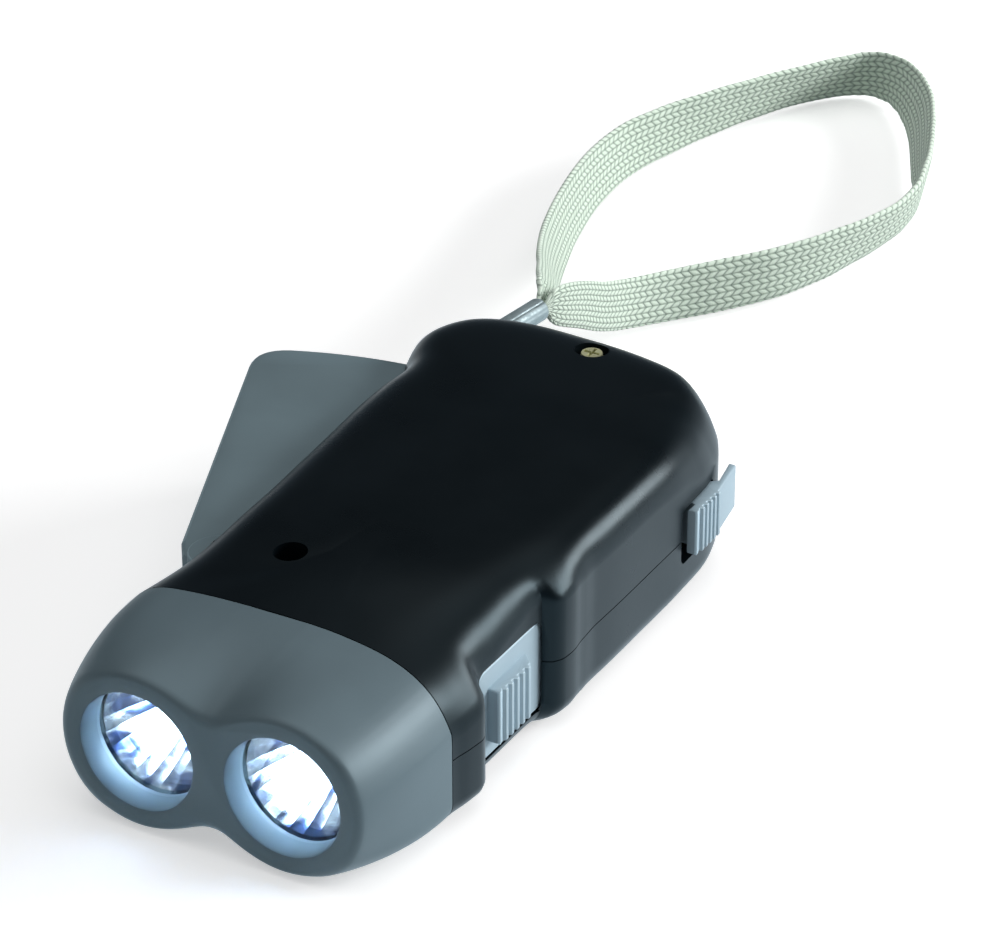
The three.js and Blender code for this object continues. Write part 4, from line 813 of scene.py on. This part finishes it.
class Look:
    """A material and short ways to add nodes to it."""

    def __init__(self, name):
        self.mat = bpy.data.materials.new(name)
        self.mat.use_nodes = True
        self.nodes, self.links = self.mat.node_tree.nodes, self.mat.node_tree.links
        self.bsdf = self.nodes["Principled BSDF"]
        self.place = self.nodes.new("ShaderNodeTexCoord").outputs["Object"]

    def link(self, a, b):
        self.links.new(a, b)

    def feed(self, socket, value):
        """Links a socket to another, or sets it to a number or colour."""
        if isinstance(value, bpy.types.NodeSocket):
            self.link(value, socket)
        else:
            socket.default_value = value

    def noise(self, scale, detail=3, roughness=0.5, distortion=0):
        node = self.nodes.new("ShaderNodeTexNoise")
        node.inputs["Scale"].default_value = scale
        node.inputs["Detail"].default_value = detail
        node.inputs["Roughness"].default_value = roughness
        node.inputs["Distortion"].default_value = distortion
        self.link(self.place, node.inputs["Vector"])
        return node.outputs["Fac"]

    def span(self, value, low, high, from_low=0.3, from_high=0.7):
        node = self.nodes.new("ShaderNodeMapRange")
        node.inputs["From Min"].default_value = from_low
        node.inputs["From Max"].default_value = from_high
        node.inputs["To Min"].default_value = low
        node.inputs["To Max"].default_value = high
        self.link(value, node.inputs["Value"])
        return node.outputs["Result"]

    def mix(self, factor, a, b):
        node = self.nodes.new("ShaderNodeMix")
        node.data_type = "RGBA"
        for name, value in (("Factor", factor), ("A", a), ("B", b)):
            self.feed(node.inputs[name], value)
        return node.outputs["Result"]

    def math(self, how, *values):
        node = self.nodes.new("ShaderNodeMath")
        node.operation = how
        for socket, value in zip(node.inputs, values):
            self.feed(socket, value)
        return node.outputs[0]

    def split(self, vector):
        node = self.nodes.new("ShaderNodeSeparateXYZ")
        self.link(vector, node.inputs[0])
        return node.outputs

    def bump(self, height, strength, distance):
        node = self.nodes.new("ShaderNodeBump")
        node.inputs["Strength"].default_value = strength
        node.inputs["Distance"].default_value = distance
        self.link(height, node.inputs["Height"])
        self.link(node.outputs["Normal"], self.bsdf.inputs["Normal"])

    def set(self, **values):
        for name, value in values.items():
            self.bsdf.inputs[name.replace("_", " ")].default_value = value

    def colour(self, output):
        self.link(output, self.bsdf.inputs["Base Color"])

    def roughness(self, output):
        self.link(output, self.bsdf.inputs["Roughness"])


def moulded(
    name, colour, roughness, grain=2600, depth=0.00002, strength=0.25, tint=WHITE, shine=0.5,
):
    """Plastic, uneven in colour and gloss, with a fine grain, and a painted highlight that makes
    rounded edges paler.
    """
    look = Look(name)
    look.set(IOR=1.5, Specular_Tint=tint, Specular_IOR_Level=shine)
    broad = look.span(look.noise(60, 4), 0, 1)
    plain = look.mix(broad, scaled(colour, 0.93), scaled(colour, 1.07))
    # Painted highlight: faces marked on rounded edges get a paler colour.
    painted_edge_highlight = look.nodes.new("ShaderNodeAttribute")
    painted_edge_highlight.attribute_name = "painted_edge_highlight"
    look.colour(look.mix(painted_edge_highlight.outputs["Fac"], plain, scaled(colour, 1.5)))
    look.roughness(look.span(look.noise(35, 5, 0.6), roughness - 0.06, roughness + 0.06))
    look.bump(look.noise(grain, 2), strength, depth)
    return look.mat


def metal(name, colour, roughness, scale=900, metallic=1.0):
    look = Look(name)
    look.set(Metallic=metallic)
    look.colour(look.mix(look.span(look.noise(400, 4), 0, 1), scaled(colour, 0.8), colour))
    look.roughness(look.span(look.noise(scale, 4), roughness * 0.7, roughness * 1.3))
    look.bump(look.noise(scale, 3), 0.2, 0.00004)
    return look.mat


THREAD = 1.5  # along the braid from one thread to the next
V_WIDTH = 1.9  # across the braid from one row of Vs to the next
V_LEAN = 1.3  # threads along the braid that an arm would lean by over the width of a V


def braid():
    """Herringbone braid: V rows whose arms meet along the strap's middle lines."""
    look = Look("strap_braid")
    look.set(Sheen_Weight=0.3, Sheen_Roughness=0.5, Roughness=0.85)
    uv = look.nodes.new("ShaderNodeUVMap")
    uv.uv_map = "braid"
    run, width, _ = look.split(uv.outputs["UV"])
    wide = look.math("MULTIPLY", width, 1 / V_WIDTH)
    zigzag = look.math("PINGPONG", look.math("ADD", wide, 50), 0.5)
    threads = look.math("MULTIPLY", run, 1 / THREAD)
    slant = look.math("ADD", threads, look.math("MULTIPLY", zigzag, V_LEAN))

    def waves(value, pace):
        return look.math("ABSOLUTE", look.math("SINE", look.math("MULTIPLY", value, pace)))

    weave = look.math("MULTIPLY", waves(slant, math.pi), waves(wide, 2 * math.pi))
    fuzz = look.math("MULTIPLY", look.noise(4000, 3), 0.25)
    height = look.math("ADD", look.math("POWER", weave, 0.4), fuzz)
    # Painted shade: the colour darkens in the hollows between threads and pales on their tops.
    pale = look.span(height, 0, 1, 0.3, 1.0)
    look.colour(look.mix(pale, tone(136, 158, 142), tone(228, 244, 228)))
    look.bump(height, 0.7, 0.0003)
    return look.mat


def glow(name, colour, strength):
    look = Look(name)
    look.set(
        Base_Color=colour, Roughness=0.15, Emission_Color=colour, Emission_Strength=strength,
    )
    return look.mat


def clear(name):
    look = Look(name)
    look.set(Base_Color=(0.97, 0.99, 1, 1), IOR=1.49, Transmission_Weight=1.0)
    look.roughness(look.span(look.noise(50, 3), 0.0, 0.05))
    return look.mat


def mirror(name):
    """Thin metal on a cup that is not quite smooth, with painted reflections: dark bluish patches
    in its colour.
    """
    look = Look(name)
    look.set(Metallic=1.0, Roughness=0.17)
    # Painted reflection: dark bluish patches in the metal's colour stand in for what the cup
    # reflects.
    painted_reflection_swirl = look.span(look.noise(110, 2, distortion=2.5), 0, 1, 0.45, 0.55)
    look.colour(look.mix(painted_reflection_swirl, tone(70, 88, 126), tone(244, 248, 246)))
    look.bump(look.noise(150, 2), 0.6, 0.001)
    return look.mat


DARK_TINT, BLUE_TINT = (0.62, 0.88, 1, 1), (0.7, 0.9, 1, 1)
LOOKS = {
    "casing": moulded("casing", tone(6, 12, 16), 0.3, strength=0.15, tint=DARK_TINT, shine=0.27),
    "bezel": moulded("bezel", tone(93, 109, 116), 0.4, 2800, 0.00001, 0.2, BLUE_TINT),
    "lever": moulded("lever", tone(108, 127, 134), 0.55, 1900, 0.00003, 0.35),
    "slide": moulded("slide", tone(164, 186, 198), 0.4, 2800, 0.00001, 0.2),
    "lens": clear("lens"),
    "mirror": mirror("mirror"),
    "led": glow("led", (0.64, 0.82, 1, 1), 70),
    "board": moulded("board", tone(30, 92, 52), 0.5),
    "ferrule": metal("ferrule", tone(150, 166, 170), 0.5, 1500, metallic=0.5),
    "steel": metal("steel", tone(176, 186, 190), 0.3),
    "zinc": metal("zinc", tone(222, 222, 178), 0.35, metallic=0.5),
    "gear": moulded("gear", tone(228, 226, 216), 0.45),
    "magnet": moulded("magnet", tone(52, 52, 56), 0.6),
    "copper": metal("copper", tone(184, 110, 60), 0.35),
    "strap": braid(),
    "black": moulded("black", tone(24, 25, 27), 0.5),
}

slots = {part["node"]: part["material_slot"] for part in frame["record"]["subparts"]}
dressed = [(obj, slots[name]) for name, obj in frame["nodes"].items()] + [
    (strap, "strap"), (upper, "casing"), (lower, "casing"), (bezel, "bezel"),
    (lever, "lever"), (switch, "slide"), (lock, "slide"), (ferrule, "ferrule"),
]
for obj, look in dressed:
    obj.data.materials.clear()
    obj.data.materials.append(LOOKS[look])


# ---------------------------------------------------------------- studio
FLOOR = 3  # half its size in metres
# The floor's colour for bounced light and for the camera, and its own light for the camera and for
# glossy surfaces
FLOOR_LIT, FLOOR_SEEN = (0.56, 0.56, 0.56, 1), (0.85, 0.85, 0.85, 1)
GLOW_SEEN, GLOW_MIRRORED = 0.47, 0.62
# What glossy surfaces see of the floor goes from the first colour at the lever's side to the other,
# between these two places across, in metres
MIRRORED = ((0.15, 0.22, 0.26, 1), (0.85, 1.12, 1.3, 1))
MIRRORED_FROM, MIRRORED_TO = -0.14, -0.01
# The world's light by the height of its direction
SKY = [
    (0.04, (0.13, 0.18, 0.22, 1)), (0.28, (0.07, 0.09, 0.11, 1)),
    (0.44, (0.022, 0.022, 0.022, 1)), (0.62, (0.03, 0.03, 0.03, 1)),
    (0.85, (0.9, 0.9, 0.9, 1)), (1.0, (1.2, 1.2, 1.2, 1)),
]
AIM = (0, 0.05, 0.01)


def make_floor():
    """A pale floor that keeps the shadow, white where it is lit."""
    mesh = bpy.data.meshes.new("floor")
    corners = [(-FLOOR, -FLOOR, 0), (FLOOR, -FLOOR, 0), (FLOOR, FLOOR, 0), (-FLOOR, FLOOR, 0)]
    mesh.from_pydata(corners, [], [(0, 1, 2, 3)])
    floor = bpy.data.objects.new("floor", mesh)
    bpy.context.collection.objects.link(floor)
    look = Look("floor")
    look.set(Roughness=0.9)
    path = look.nodes.new("ShaderNodeLightPath").outputs
    look.colour(look.mix(path["Is Camera Ray"], FLOOR_LIT, FLOOR_SEEN))
    emission = look.nodes.new("ShaderNodeEmission")
    seen = look.math("MULTIPLY", path["Is Camera Ray"], GLOW_SEEN)
    mirrored = look.math("MULTIPLY", path["Is Glossy Ray"], GLOW_MIRRORED)
    look.link(look.math("ADD", seen, mirrored), emission.inputs["Strength"])
    beside = look.span(look.split(look.place)[0], 0, 1, MIRRORED_FROM, MIRRORED_TO)
    tint = look.mix(path["Is Camera Ray"], look.mix(beside, *MIRRORED), WHITE)
    look.link(tint, emission.inputs["Color"])
    add = look.nodes.new("ShaderNodeAddShader")
    look.link(look.bsdf.outputs[0], add.inputs[0])
    look.link(emission.outputs[0], add.inputs[1])
    look.link(add.outputs[0], look.nodes["Material Output"].inputs["Surface"])
    mesh.materials.append(look.mat)


def make_world():
    """Soft light from above over a dark band; the camera and clear parts see plain white."""
    world = bpy.data.worlds.new("world")
    bpy.context.scene.world = world
    world.use_nodes = True
    nodes, links = world.node_tree.nodes, world.node_tree.links
    sky = nodes.new("ShaderNodeTexCoord")
    split = nodes.new("ShaderNodeSeparateXYZ")
    links.new(sky.outputs["Generated"], split.inputs[0])
    ramp = nodes.new("ShaderNodeValToRGB")
    stops = ramp.color_ramp.elements
    while len(stops) < len(SKY):
        stops.new(1.0)
    for stop, (height, colour) in zip(stops, SKY):
        stop.position, stop.color = height, colour
    links.new(split.outputs[2], ramp.inputs[0])
    path = nodes.new("ShaderNodeLightPath")
    plain = nodes.new("ShaderNodeMath")
    plain.operation = "MAXIMUM"
    links.new(path.outputs["Is Camera Ray"], plain.inputs[0])
    links.new(path.outputs["Is Transmission Ray"], plain.inputs[1])
    mix = nodes.new("ShaderNodeMix")
    mix.data_type = "RGBA"
    mix.inputs["B"].default_value = WHITE
    links.new(plain.outputs[0], mix.inputs["Factor"])
    links.new(ramp.outputs[0], mix.inputs["A"])
    links.new(mix.outputs["Result"], nodes["Background"].inputs["Color"])


def lamp(name, place, size, power):
    data = bpy.data.lights.new(name, "AREA")
    data.shape = "RECTANGLE"
    data.size, data.size_y = size
    data.energy = power
    obj = bpy.data.objects.new(name, data)
    bpy.context.collection.objects.link(obj)
    obj.location = place
    obj.rotation_euler = (Vector(place) - Vector(AIM)).to_track_quat("Z", "Y").to_euler()


make_floor()
make_world()
lamp("key", (0.94, 0.74, 0.46), (1.0, 0.4), 16.5)
lamp("fill", (-0.3, -1.1, 0.4), (0.6, 0.5), 0.7)
bpy.context.scene.view_settings.view_transform = "Standard"
